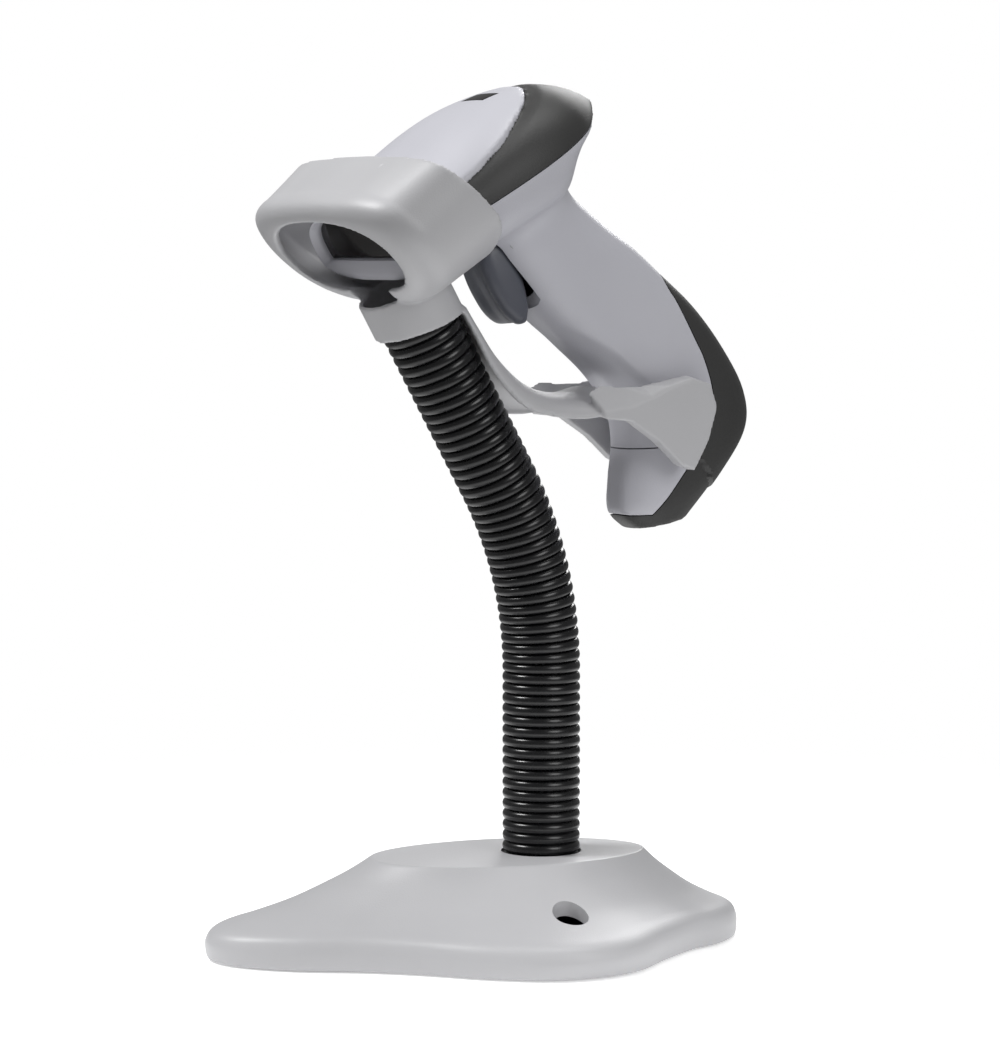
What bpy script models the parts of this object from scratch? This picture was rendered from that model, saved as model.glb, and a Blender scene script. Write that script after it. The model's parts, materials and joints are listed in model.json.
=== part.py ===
"""Handheld barcode scanner in its hands-free stand, as an assembly of separate solids.

The origin is on the table, under the foot of the gooseneck. +Z is up and the scanner
looks towards -Y. Scanner and holder are drawn in a leaning frame, the cradle: x across,
s backwards along the barrel, t up along the top of the gooseneck.
"""

import math

import bmesh
import bpy
from mathutils import Matrix, Vector

MM = 0.001

# ---------------------------------------------------------------- driving dimensions
BASE_LENGTH = 157 * MM
BASE_WIDTH = 116 * MM
BASE_TURN = math.radians(-14.0)
BASE_WALL = 2.4 * MM
PLATEAU_LENGTH = 80 * MM
PLATEAU_WIDTH = 46 * MM
PLATEAU_HEIGHT = 26 * MM
PLATEAU_SHIFT = 10 * MM
BASE_LIFT = 0.6 * MM
SCREW_WELL_SPREAD = 80 * MM
SCREW_WELL_FORWARD = 5 * MM
SCREW_WELL_BORE = 10 * MM
SCREW_WELL_WALL = 2 * MM
SCREW_WELL_FLOOR = 2.5 * MM
TABLE_SCREW_BORE = 4.5 * MM
PAD_THICKNESS = 0.9 * MM
COVER_THICKNESS = 1.6 * MM
BALLAST_THICKNESS = 3 * MM
COVER_SCREW_SHANK = 2.4 * MM
COVER_SCREW_HEAD = 4.4 * MM
COVER_SCREW_SINK = 1 * MM
COVER_SCREW_LENGTH = 6.5 * MM

NECK_OD = 22 * MM
NECK_SLEEVE_WALL = 2.5 * MM
NECK_UPRIGHT = 51 * MM
NECK_BEND_RADIUS = 110 * MM
NECK_LEAN = math.radians(30.0)
NECK_STRAIGHT = 48 * MM
NECK_JOINTS = 8
NECK_JOINT_LIMIT = math.radians(12.0)
NECK_RECESS = 1.2 * MM
NECK_FLANGE = 6 * MM
NECK_NUT_WIDTH = 24 * MM
NECK_NUT_HEIGHT = 6 * MM
NECK_WASHER_THICKNESS = 1.2 * MM

COLLAR_WALL = 1.45 * MM
COLLAR_GRIP = 4 * MM
COLLAR_BACK = 16 * MM
COLLAR_DROP = 10 * MM
COLLAR_FLOOR = 1.8 * MM
COLLAR_TOP = 4.7 * MM
CUP_FRONT = 4.3 * MM
NECK_SCREW = 3 * MM
NECK_SCREW_HEAD = 6.4 * MM
NECK_SCREW_LENGTH = 5.5 * MM

HEAD_WIDTH = 66 * MM
HEAD_WALL = 2.2 * MM
HEAD_SPLIT = 18.5 * MM
NOSE_START = -21.5 * MM
BEZEL_DEPTH = 5.5 * MM
TONGUE_WIDTH = 58 * MM
TONGUE_TIP = 42.5 * MM
TRIM_START = -6 * MM
LAMP_FRONT = 29.5 * MM
LAMP_BACK = 34.5 * MM
LAMP_WIDTH = 11 * MM
HANDLE_WIDTH = 30 * MM
HANDLE_WALL = 2.2 * MM

HOOD_WALL = 2.4 * MM
HOOD_RIM = 8.5 * MM
ARM_WALL = 2.4 * MM
WING_WALL = 4.2 * MM

TRIGGER_WIDTH = 16 * MM
TRIGGER_SIDE_ROOM = 0.6 * MM
TRIGGER_PIN = 3 * MM
PIN_BOSS = 6 * MM
PIN_BOSS_END = 12 * MM
OUTLET_WIDTH = 12 * MM
TRIGGER_PIVOT = (15.5 * MM, -0.5 * MM)
SPRING_WIRE = 0.8 * MM
SPRING_TURNS = 3
SPRING_ROOM = 2 * MM

GAP = 0.3 * MM
RUNNING_GAP = 0.35 * MM
FAR = 200 * MM
FIT_GAP = 0.3 * MM

TRIGGER_SLOT_SIDE = TRIGGER_WIDTH / 2 + TRIGGER_SIDE_ROOM
SPRING_OUTER = TRIGGER_PIN / 2 + GAP + SPRING_WIRE

# ---------------------------------------------------------------- scene and materials
for old in list(bpy.data.objects):
    bpy.data.objects.remove(old, do_unlink=True)

parts = bpy.data.collections.new("barcode_scanner")
cutters = bpy.data.collections.new("cutters")
bpy.context.scene.collection.children.link(parts)
bpy.context.scene.collection.children.link(cutters)

PALETTE = {
    "holder_plastic": ((0.47, 0.47, 0.46), 0.42, 0.0),
    "body_plastic": ((0.56, 0.56, 0.60), 0.36, 0.0),
    "trim_plastic": ((0.045, 0.045, 0.043), 0.5, 0.0),
    "trigger_plastic": ((0.13, 0.14, 0.17), 0.4, 0.0),
    "trigger_rubber": ((0.02, 0.023, 0.028), 0.6, 0.0),
    "sleeve_plastic": ((0.01, 0.01, 0.011), 0.25, 0.0),
    "steel": ((0.55, 0.56, 0.58), 0.35, 1.0),
    "brass": ((0.75, 0.6, 0.3), 0.35, 1.0),
    "black_plastic": ((0.02, 0.02, 0.02), 0.45, 0.0),
    "rubber": ((0.03, 0.03, 0.03), 0.8, 0.0),
    "window": ((0.02, 0.004, 0.004), 0.08, 0.0),
    "lens_glass": ((0.1, 0.12, 0.16), 0.05, 0.0),
    "board": ((0.02, 0.16, 0.07), 0.45, 0.0),
    "indicator": ((0.05, 0.06, 0.07), 0.2, 0.0),
}


def make_material(name):
    colour, roughness, metallic = PALETTE[name]
    material = bpy.data.materials.new(name)
    material.use_nodes = True
    shader = material.node_tree.nodes["Principled BSDF"]
    shader.inputs["Base Color"].default_value = (*colour, 1.0)
    shader.inputs["Roughness"].default_value = roughness
    shader.inputs["Metallic"].default_value = metallic
    return material


MATERIALS = {name: make_material(name) for name in PALETTE}


# ---------------------------------------------------------------- modelling helpers
def add_object(name, mesh, finish=None, parent=None, matrix=None):
    """A part if it has a finish, otherwise a cutter that stays out of the model."""
    obj = bpy.data.objects.new(name, mesh)
    if finish:
        parts.objects.link(obj)
        mesh.materials.append(MATERIALS[finish])
        mesh.shade_smooth()
        mesh.set_sharp_from_angle(angle=math.radians(32))
    else:
        cutters.objects.link(obj)
        obj.hide_render = True
        obj.display_type = "WIRE"
    obj.parent = parent
    if matrix:
        obj.matrix_local = matrix
    return obj


def finish_bmesh(name, bm, finish=None, parent=None, matrix=None):
    bmesh.ops.recalc_face_normals(bm, faces=bm.faces)
    mesh = bpy.data.meshes.new(name)
    bm.to_mesh(mesh)
    bm.free()
    return add_object(name, mesh, finish, parent, matrix)


def empty(name, parent=None, matrix=None):
    obj = bpy.data.objects.new(name, None)
    parts.objects.link(obj)
    obj.parent = parent
    if matrix:
        obj.matrix_local = matrix
    return obj


def add_cylinder(bm, radius, low, high, segments=24, top_radius=None, matrix=Matrix()):
    top = radius if top_radius is None else top_radius
    place = matrix @ Matrix.Translation((0, 0, (low + high) / 2))
    bmesh.ops.create_cone(bm, cap_ends=True, segments=segments, radius1=radius,
                          radius2=top, depth=high - low, matrix=place)


def add_box(bm, low, high, matrix=Matrix()):
    size = Vector(high) - Vector(low)
    centre = (Vector(high) + Vector(low)) / 2
    place = matrix @ Matrix.Translation(centre) @ Matrix.Diagonal((*size, 1))
    bmesh.ops.create_cube(bm, size=1, matrix=place)


def cylinder(name, radius, low, high, finish=None, parent=None, matrix=None, segments=24):
    bm = bmesh.new()
    add_cylinder(bm, radius, low, high, segments)
    return finish_bmesh(name, bm, finish, parent, matrix)


def box(name, low, high, finish=None, parent=None, matrix=None, bevel=0.0):
    bm = bmesh.new()
    add_box(bm, low, high)
    if bevel:
        bmesh.ops.bevel(bm, geom=bm.edges[:], offset=bevel, segments=1, affect="EDGES")
    return finish_bmesh(name, bm, finish, parent, matrix)


def loft(name, rings, finish=None, parent=None, closed=False):
    """Skin through rings of equal count: capped at both ends, or closed on itself."""
    bm = bmesh.new()
    rows = [[bm.verts.new(point) for point in ring] for ring in rings]
    pairs = list(zip(rows, rows[1:]))
    if closed:
        pairs.append((rows[-1], rows[0]))
    else:
        bm.faces.new(list(reversed(rows[0])))
        bm.faces.new(rows[-1])
    for near, far in pairs:
        count = len(near)
        for i in range(count):
            j = (i + 1) % count
            bm.faces.new((near[i], near[j], far[j], far[i]))
    return finish_bmesh(name, bm, finish, parent)


def prism(name, outline, low, high, finish=None, parent=None, bevel=0.0, across=True):
    """A flat outline pushed along x (outline in s, t) or along t (outline in x, s)."""
    place = (lambda a, b, h: (h, a, b)) if across else (lambda a, b, h: (a, b, h))
    rings = [[place(a, b, h) for a, b in outline] for h in (low, high)]
    obj = loft(name, rings, finish, parent)
    if bevel:
        rounding = obj.modifiers.new("rounding", "BEVEL")
        rounding.width = bevel
        rounding.segments = 2
        rounding.angle_limit = math.radians(50)
    return obj


def turned(name, profile, finish, parent=None, matrix=None, steps=24):
    """A (radius, height) profile, outer side from top to bottom, turned about Z."""
    bm = bmesh.new()
    points = [bm.verts.new((radius, 0, height)) for radius, height in profile]
    for first, second in zip(points, points[1:] + points[:1]):
        bm.edges.new((first, second))
    mesh = bpy.data.meshes.new(name)
    bm.to_mesh(mesh)
    bm.free()
    obj = add_object(name, mesh, finish, parent, matrix)
    screw = obj.modifiers.new("turn", "SCREW")
    screw.steps = steps
    screw.render_steps = steps
    screw.use_merge_vertices = True
    screw.merge_threshold = 0.00001
    return obj


def boolean(obj, other, operation="DIFFERENCE"):
    step = obj.modifiers.new(operation.lower() + "_" + other.name, "BOOLEAN")
    step.operation = operation
    step.object = other
    step.solver = "EXACT"


def through(points, steps, closed=False):
    """A smooth curve through points (Catmull-Rom), with steps per span."""
    points = [Vector(point) for point in points]
    count = len(points)
    out = []
    spans = count if closed else count - 1
    for i in range(spans):
        if closed:
            p0, p1, p2, p3 = (points[(i + k) % count] for k in (-1, 0, 1, 2))
        else:
            p0, p1, p2, p3 = (points[min(max(i + k, 0), count - 1)] for k in (-1, 0, 1, 2))
        for step in range(steps):
            u = step / steps
            out.append(0.5 * (2 * p1 + (p2 - p0) * u + (2 * p0 - 5 * p1 + 4 * p2 - p3) * u * u
                              + (3 * p1 - p0 - 3 * p2 + p3) * u ** 3))
    if not closed:
        out.append(points[-1])
    return out


def mirrored(half):
    """A closed outline from its half at +x, first and last point on the mid-plane."""
    return [*half, *((-x, y) for x, y in reversed(half[1:-1]))]


def shifted_line(points, distance):
    """A polyline moved sideways, to its left, by a distance."""
    out = []
    for i, point in enumerate(points):
        before = Vector(points[max(i - 1, 0)])
        after = Vector(points[min(i + 1, len(points) - 1)])
        along = (after - before).normalized()
        out.append((point[0] - along.y * distance, point[1] + along.x * distance))
    return out


# ---------------------------------------------------------------- gooseneck path
NECK_BEND = NECK_BEND_RADIUS * NECK_LEAN
NECK_LENGTH = NECK_UPRIGHT + NECK_BEND + NECK_STRAIGHT
NECK_PITCH = NECK_LENGTH / NECK_JOINTS


def neck_frame(length):
    """Place on the neck's centre line: upright, then bent forwards, then straight."""
    lean = min(max(length - NECK_UPRIGHT, 0) / NECK_BEND_RADIUS, NECK_LEAN)
    upright = min(length, NECK_UPRIGHT)
    rest = max(length - NECK_UPRIGHT - NECK_BEND, 0)
    y = -NECK_BEND_RADIUS * (1 - math.cos(lean)) - rest * math.sin(lean)
    z = PLATEAU_HEIGHT + upright + NECK_BEND_RADIUS * math.sin(lean) + rest * math.cos(lean)
    return Matrix.Translation((0, y, z)) @ Matrix.Rotation(lean, 4, "X")


NECK_TOP = neck_frame(NECK_LENGTH)
CRADLE = NECK_TOP @ Matrix.Translation((0, COLLAR_BACK, COLLAR_DROP))
cradle = empty("cradle_frame", matrix=CRADLE)


# ---------------------------------------------------------------- base
# Half outline seen from above: share of the length forwards, share of the half width.
BASE_OUTLINE = (
    (0.621, 0.0), (0.590, 0.21), (0.505, 0.385), (0.395, 0.51), (0.300, 0.66), (0.200, 0.86),
    (0.100, 0.985), (0.010, 0.99), (-0.070, 0.90), (-0.150, 0.68), (-0.228, 0.49),
    (-0.295, 0.38), (-0.350, 0.20), (-0.370, 0.0),
)
BASE_STEPS = 1
RIM_HEIGHT = 9 * MM
# How far out (0 at the plateau edge, 1 at the rim) and how high the top surface is.
BASE_SWEEP = ((1.0, 4 * MM), (0.985, 6.6 * MM), (0.93, RIM_HEIGHT), (0.75, 11.4 * MM),
              (0.5, 15.2 * MM), (0.25, 20.2 * MM), (0.0, PLATEAU_HEIGHT))

base = empty("base_frame", matrix=Matrix.Rotation(BASE_TURN, 4, "Z"))


def base_rim():
    """The base's outline in its own frame, forwards being -y."""
    half = [(across * BASE_WIDTH / 2, -along * BASE_LENGTH) for along, across in BASE_OUTLINE]
    return [tuple(point) for point in through(mirrored(half), BASE_STEPS, closed=True)]


def plateau_point(x, y):
    """The point of the plateau's edge in the same direction as a rim point."""
    a, b = PLATEAU_WIDTH / 2, PLATEAU_LENGTH / 2
    dy = y + PLATEAU_SHIFT
    scale = 1 / math.hypot(x / a, dy / b)
    return x * scale, -PLATEAU_SHIFT + dy * scale


def base_ring(share, height, inset=0.0):
    """A ring between the plateau edge and the rim, drawn in by an inset."""
    ring = []
    for x, y in base_rim():
        px, py = plateau_point(x, y)
        rx, ry = px + (x - px) * share, py + (y - py) * share
        length = math.hypot(rx, ry + PLATEAU_SHIFT)
        keep = 1 - inset / length
        ring.append((rx * keep, -PLATEAU_SHIFT + (ry + PLATEAU_SHIFT) * keep, height))
    return ring


def base_plate(name, inset, low, high, finish):
    return loft(name, [base_ring(1, low, inset), base_ring(1, high, inset)], finish, base)


def well_places():
    return [(side * SCREW_WELL_SPREAD / 2, -SCREW_WELL_FORWARD) for side in (-1, 1)]


def cover_screw_places():
    return [(0, -BASE_LENGTH * 0.45), (0, BASE_LENGTH * 0.25),
            (-BASE_WIDTH * 0.22, -BASE_LENGTH * 0.24), (BASE_WIDTH * 0.22, -BASE_LENGTH * 0.24)]


PAD_TOP = PAD_THICKNESS
COVER_LOW = PAD_TOP + GAP
COVER_HIGH = COVER_LOW + COVER_THICKNESS
BALLAST_LOW = COVER_HIGH + GAP
BALLAST_HIGH = BALLAST_LOW + BALLAST_THICKNESS
WELL_LOW = BALLAST_LOW
FITTING_RADIUS = NECK_OD / 2 - NECK_SLEEVE_WALL - RUNNING_GAP
NECK_HOLE = FITTING_RADIUS + FIT_GAP
PLATEAU_UNDER = PLATEAU_HEIGHT - NECK_RECESS - BASE_WALL


def make_base():
    outer = [base_ring(0.985, BASE_LIFT)]
    outer += [base_ring(share, height) for share, height in BASE_SWEEP]
    inner = [base_ring(0, PLATEAU_UNDER, BASE_WALL)]
    for share, height in reversed(BASE_SWEEP[2:-1]):
        inner.append(base_ring(share, height - BASE_WALL, BASE_WALL))
    inner.append(base_ring(1, RIM_HEIGHT - 2 * BASE_WALL, BASE_WALL * 1.4))
    inner.append(base_ring(1, BASE_LIFT, BASE_WALL * 1.4))
    shell = loft("base_shell", inner + outer, "holder_plastic", base)

    bm = bmesh.new()
    for x, y in well_places():
        add_cylinder(bm, SCREW_WELL_BORE / 2 + SCREW_WELL_WALL, WELL_LOW, RIM_HEIGHT,
                     matrix=Matrix.Translation((x, y, 0)))
    boolean(shell, finish_bmesh("screw_bosses", bm, parent=base), "UNION")
    bm = bmesh.new()
    for x, y in well_places():
        place = Matrix.Translation((x, y, 0))
        add_cylinder(bm, SCREW_WELL_BORE / 2, WELL_LOW + SCREW_WELL_FLOOR, PLATEAU_HEIGHT * 2,
                     matrix=place)
    add_cylinder(bm, NECK_OD / 2 + GAP, PLATEAU_HEIGHT - NECK_RECESS, PLATEAU_HEIGHT * 2, 32)
    boolean(shell, finish_bmesh("wells", bm, parent=base))
    bm = bmesh.new()
    for x, y in well_places():
        add_cylinder(bm, TABLE_SCREW_BORE / 2, -PLATEAU_HEIGHT, PLATEAU_HEIGHT, 16,
                     matrix=Matrix.Translation((x, y, 0)))
    add_cylinder(bm, NECK_HOLE, COVER_HIGH, PLATEAU_HEIGHT * 1.5, 32)
    table_bores = finish_bmesh("table_bores", bm, parent=base)
    boolean(shell, table_bores)

    inset = BASE_WALL * 1.4 + GAP
    cover = base_plate("base_cover", inset, COVER_LOW, COVER_HIGH, "black_plastic")
    pad = base_plate("base_pad", inset + 4 * MM, 0, PAD_TOP, "rubber")
    ballast = base_plate("ballast_plate", inset + 5 * MM, BALLAST_LOW, BALLAST_HIGH, "steel")
    bm = bmesh.new()
    for x, y in well_places():
        add_cylinder(bm, TABLE_SCREW_BORE / 2, -PLATEAU_HEIGHT, PLATEAU_HEIGHT, 16,
                     matrix=Matrix.Translation((x, y, 0)))
    plain_bores = finish_bmesh("plain_bores", bm, parent=base)
    boolean(cover, plain_bores)
    boolean(pad, plain_bores)
    bm = bmesh.new()
    for x, y in well_places():
        add_cylinder(bm, SCREW_WELL_BORE / 2 + SCREW_WELL_WALL + GAP, 0, PLATEAU_HEIGHT,
                     matrix=Matrix.Translation((x, y, 0)))
    for x, y in cover_screw_places():
        add_cylinder(bm, COVER_SCREW_SHANK / 2 + GAP, 0, PLATEAU_HEIGHT, 12,
                     matrix=Matrix.Translation((x, y, 0)))
    boolean(ballast, finish_bmesh("ballast_cuts", bm, parent=base))

    make_cover_screws(cover, ballast)


def make_cover_screws(cover, ballast):
    """Countersunk screws under the pad, up through the ballast."""
    shanks = bmesh.new()
    heads = bmesh.new()
    head_high = COVER_LOW + COVER_SCREW_SINK
    for number, (x, y) in enumerate(cover_screw_places(), 1):
        place = Matrix.Translation((x, y, 0))
        screw = [(0, COVER_SCREW_LENGTH), (COVER_SCREW_SHANK / 2, COVER_SCREW_LENGTH),
                 (COVER_SCREW_SHANK / 2, head_high), (COVER_SCREW_HEAD / 2, COVER_LOW),
                 (0, COVER_LOW)]
        turned(f"base_screw_{number}", screw, "steel", base, place, 12)
        add_cylinder(shanks, COVER_SCREW_SHANK / 2 + GAP, 0, COVER_SCREW_LENGTH + GAP, 12,
                     matrix=place)
        add_cylinder(heads, COVER_SCREW_HEAD / 2 + 2 * GAP, COVER_LOW - GAP, head_high + GAP,
                     12, top_radius=COVER_SCREW_SHANK / 2 + GAP / 2, matrix=place)
    shank_holes = finish_bmesh("shank_holes", shanks, parent=base)
    boolean(cover, shank_holes)
    boolean(cover, finish_bmesh("head_holes", heads, parent=base))
    boolean(ballast, shank_holes)


make_base()


# ---------------------------------------------------------------- gooseneck
SLEEVE_INNER = NECK_OD / 2 - NECK_SLEEVE_WALL
NECK_KINK = NECK_PITCH / NECK_BEND_RADIUS
SLEEVE_CLEAR = NECK_OD / 2 * math.tan((NECK_KINK + NECK_JOINT_LIMIT) / 2) + GAP / 2


def tube(name, outer, inner, low, high, finish, matrix):
    profile = [(outer, high), (outer, low), (inner, low), (inner, high), (outer, high)]
    return turned(name, profile, finish, matrix=matrix, steps=20)


def ball_ended(name, low, ball, matrix):
    """A length of the steel core: flat foot, round top centred on the next joint."""
    steps = 4
    dome = [(FITTING_RADIUS * math.sin(math.pi / 2 * i / steps),
             ball + FITTING_RADIUS * math.cos(math.pi / 2 * i / steps)) for i in range(steps + 1)]
    return turned(name, [*dome, (FITTING_RADIUS, low), (0, low)], "steel", matrix=matrix, steps=16)


def joint_place(number):
    return neck_frame((number - 0.5) * NECK_PITCH)


def chord_frame(start, end):
    """An upright frame at start whose Z runs to end, and the distance."""
    across = end - start
    lean = math.atan2(-across.y, across.z)
    return Matrix.Translation(start) @ Matrix.Rotation(lean, 4, "X"), across.length


def make_neck():
    first = joint_place(1).translation
    foot = Matrix.Translation((0, 0, 0))
    tube("neck_sleeve_1", NECK_OD / 2, SLEEVE_INNER, PLATEAU_HEIGHT - NECK_RECESS + GAP,
         first.z - SLEEVE_CLEAR, "sleeve_plastic", foot)
    ball_ended("neck_core_1", BALLAST_HIGH + GAP, first.z, foot)
    for number in range(1, NECK_JOINTS):
        frame, length = chord_frame(joint_place(number).translation,
                                    joint_place(number + 1).translation)
        tube(f"neck_sleeve_{number + 1}", NECK_OD / 2, SLEEVE_INNER, SLEEVE_CLEAR,
             length - SLEEVE_CLEAR, "sleeve_plastic", frame)
        ball_ended(f"neck_core_{number + 1}", FITTING_RADIUS + GAP, length, frame)
    top = joint_place(NECK_JOINTS)
    to_collar = NECK_PITCH / 2
    tube(f"neck_sleeve_{NECK_JOINTS + 1}", NECK_OD / 2, SLEEVE_INNER, SLEEVE_CLEAR,
         to_collar + COLLAR_GRIP, "sleeve_plastic", top)
    end = cylinder(f"neck_core_{NECK_JOINTS + 1}", FITTING_RADIUS, FITTING_RADIUS + GAP,
                   to_collar + COLLAR_GRIP + GAP, "steel", matrix=top)
    boolean(end, cylinder("neck_thread", NECK_SCREW / 2 + GAP,
                          to_collar + COLLAR_GRIP - NECK_SCREW_LENGTH, FAR, matrix=top,
                          segments=12))


def make_neck_nut():
    """The hexagon nut and washer that hold the neck under the plateau."""
    washer_high = PLATEAU_UNDER - GAP
    washer_low = washer_high - NECK_WASHER_THICKNESS
    nut_high = washer_low - GAP
    tube("neck_washer", NECK_NUT_WIDTH * 0.55, NECK_HOLE, washer_low, washer_high, "steel",
         Matrix())
    nut = cylinder("neck_nut", NECK_NUT_WIDTH / 2 / math.cos(math.pi / 6),
                   nut_high - NECK_NUT_HEIGHT, nut_high, "brass", segments=6)
    boolean(nut, cylinder("nut_bore", NECK_HOLE, 0, PLATEAU_HEIGHT))


make_neck()
make_neck_nut()


# ---------------------------------------------------------------- head and handle forms
# Head stations along the barrel: s, top, widest level, bottom, half width, squareness.
HALF_HEAD = HEAD_WIDTH / 2
HEAD_STATIONS = (
    (NOSE_START, 29.5 * MM, 18 * MM, 8.5 * MM, 0.82, 2.9),
    (-6 * MM, 34.8 * MM, 17.5 * MM, 5 * MM, 0.95, 2.7),
    (4 * MM, 36.6 * MM, 17.5 * MM, 4 * MM, 0.99, 2.6),
    (14 * MM, 37.6 * MM, 17.5 * MM, 3.5 * MM, 1.0, 2.5),
    (24 * MM, 37.4 * MM, 17.5 * MM, 3 * MM, 0.985, 2.4),
    (34 * MM, 36 * MM, 17.5 * MM, 2.4 * MM, 0.92, 2.3),
    (43 * MM, 33.8 * MM, 17.8 * MM, 3.8 * MM, 0.79, 2.2),
    (50 * MM, 30.7 * MM, 18 * MM, 11.3 * MM, 0.6, 2.0),
    (56.5 * MM, 25.8 * MM, 18.2 * MM, 15.2 * MM, 0.35, 1.9),
    (61.5 * MM, 20.2 * MM, 18.4 * MM, 17.2 * MM, 0.12, 1.8),
)
# Handle stations: front (s, t), back (s, t), share of the half width, squareness.
HANDLE_STATIONS = (
    ((10 * MM, 8 * MM), (42.6 * MM, 10 * MM), 1.15, 2.3),
    ((11 * MM, 0), (42.1 * MM, 0), 1.12, 2.4),
    ((13.5 * MM, -12 * MM), (45.3 * MM, -12 * MM), 1.06, 2.4),
    ((16.5 * MM, -24 * MM), (52 * MM, -22 * MM), 1.0, 2.5),
    ((20.8 * MM, -37 * MM), (56.8 * MM, -33 * MM), 1.0, 2.5),
    ((25.2 * MM, -49 * MM), (62 * MM, -47 * MM), 1.0, 2.6),
    ((26.6 * MM, -60 * MM), (65 * MM, -62 * MM), 0.98, 2.7),
    ((22.5 * MM, -70 * MM), (66.8 * MM, -77.5 * MM), 0.94, 2.7),
    ((15.5 * MM, -79 * MM), (61.5 * MM, -87.5 * MM), 0.87, 2.6),
    ((12 * MM, -87 * MM), (48 * MM, -94.4 * MM), 0.78, 2.5),
    ((14.5 * MM, -93 * MM), (32 * MM, -99 * MM), 0.62, 2.4),
)
SECTION_POINTS = 28


def rounded_section(centre, up, rise, drop, half_width, squareness):
    """A squarish round section across x and an upright direction in (s, t)."""
    ring = []
    for i in range(SECTION_POINTS):
        angle = 2 * math.pi * i / SECTION_POINTS
        c, s = math.cos(angle), math.sin(angle)
        x = math.copysign(abs(c) ** (2 / squareness), c) * half_width
        h = math.copysign(abs(s) ** (2 / squareness), s) * (rise if s > 0 else drop)
        ring.append((x, centre[0] + up[0] * h, centre[1] + up[1] * h))
    return ring


def head_rings(inset=0.0, stations=HEAD_STATIONS):
    rings = []
    for s, top, middle, bottom, width, squareness in stations:
        rings.append(rounded_section((s, middle), (0, 1), top - middle - inset,
                                     middle - bottom - inset,
                                     max(width * HALF_HEAD - inset, MM), squareness))
    return rings


def handle_rings(inset=0.0, stations=HANDLE_STATIONS):
    rings = []
    for front, back, width, squareness in stations:
        centre = ((front[0] + back[0]) / 2, (front[1] + back[1]) / 2)
        reach = math.dist(front, back) / 2
        up = ((back[0] - centre[0]) / reach, (back[1] - centre[1]) / reach)
        rings.append(rounded_section(centre, up, reach - inset, reach - inset,
                                     width * HANDLE_WIDTH / 2 - inset, squareness))
    return rings


def head_cavity(name):
    """The room inside the head, open through the nose."""
    rings = head_rings(HEAD_WALL, HEAD_STATIONS[:-1])
    mouth = [(x, s - 10 * MM, t) for x, s, t in rings[0]]
    return loft(name, [mouth, *rings], parent=cradle)


def handle_cavity(name):
    return loft(name, handle_rings(HANDLE_WALL, HANDLE_STATIONS[:-1]), parent=cradle)


# ---------------------------------------------------------------- seams of the scanner
# The dark heel guard lies behind and below this line in the side view.
HEEL_LINE = (
    (66 * MM, -27 * MM), (55 * MM, -34 * MM), (53.6 * MM, -42 * MM), (53 * MM, -52 * MM),
    (52.8 * MM, -60 * MM), (50.6 * MM, -70 * MM), (45 * MM, -79 * MM), (39.4 * MM, -84 * MM),
    (32 * MM, -88.4 * MM), (24 * MM, -91.6 * MM), (16 * MM, -86 * MM), (5 * MM, -86 * MM),
)
# The butt that closes the handle begins below this line.
BUTT_LINE = ((5 * MM, -69 * MM), (22 * MM, -71.5 * MM), (30 * MM, -75.5 * MM), (55 * MM, -94 * MM))


def region(name, line, far_points):
    return prism(name, [*line, *far_points], -HANDLE_WIDTH, HANDLE_WIDTH, parent=cradle)


def behind(name, distance):
    line = shifted_line(HEEL_LINE, distance)
    return region(name, line, [(-FAR, -FAR), (FAR, -FAR), (FAR, line[0][1])])


def below(name, distance):
    line = shifted_line(BUTT_LINE, distance)
    return region(name, line, [(line[-1][0], -FAR), (-FAR, -FAR), (-FAR, line[0][1])])


def level_box(name, low, high):
    return box(name, (-FAR, -FAR, low), (FAR, FAR, high), parent=cradle)


def slab(name, low, high):
    return box(name, (-FAR, low, -FAR), (FAR, high, FAR), parent=cradle)


def tongue_region(name, room):
    """The light tongue on top, and all of the head in front of the trim."""
    w = TONGUE_WIDTH / 2
    start = TRIM_START
    half = [(0, -FAR), (FAR, -FAR), (FAR, start + room), (w + room, start + room),
            (w + room, 6 * MM), (w * 0.95 + room, 16 * MM), (w * 0.85 + room, 23.5 * MM),
            (w * 0.69 + room, 31 * MM), (w * 0.52 + room, 36 * MM), (w * 0.26 + room, 41 * MM),
            (0, TONGUE_TIP + room)]
    return prism(name, mirrored(half), HEAD_SPLIT, FAR, parent=cradle, across=False)


def cross_cylinder(name, radius, low, high, side=1, finish=None):
    """A cylinder along x through the trigger's pivot."""
    turn = Matrix.Rotation(side * math.pi / 2, 4, "Y")
    place = Matrix.Translation((0, *TRIGGER_PIVOT)) @ turn
    return cylinder(name, radius, low, high, finish, cradle, place, 16)


def make_trigger_slot():
    side = TRIGGER_SLOT_SIDE
    outline = ((-8 * MM, 3 * MM), (-8 * MM, -24.4 * MM), (12.5 * MM, -23.8 * MM),
               (17 * MM, -21 * MM), (19 * MM, -16 * MM), (19.2 * MM, -8 * MM),
               (19.8 * MM, 3 * MM))
    return prism("trigger_slot", outline, -side, side, parent=cradle)


def lamp_region(name, room):
    side = LAMP_WIDTH / 2 + room
    return box(name, (-side, LAMP_FRONT - room, HEAD_SPLIT), (side, LAMP_BACK + room, FAR),
               parent=cradle)


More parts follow.
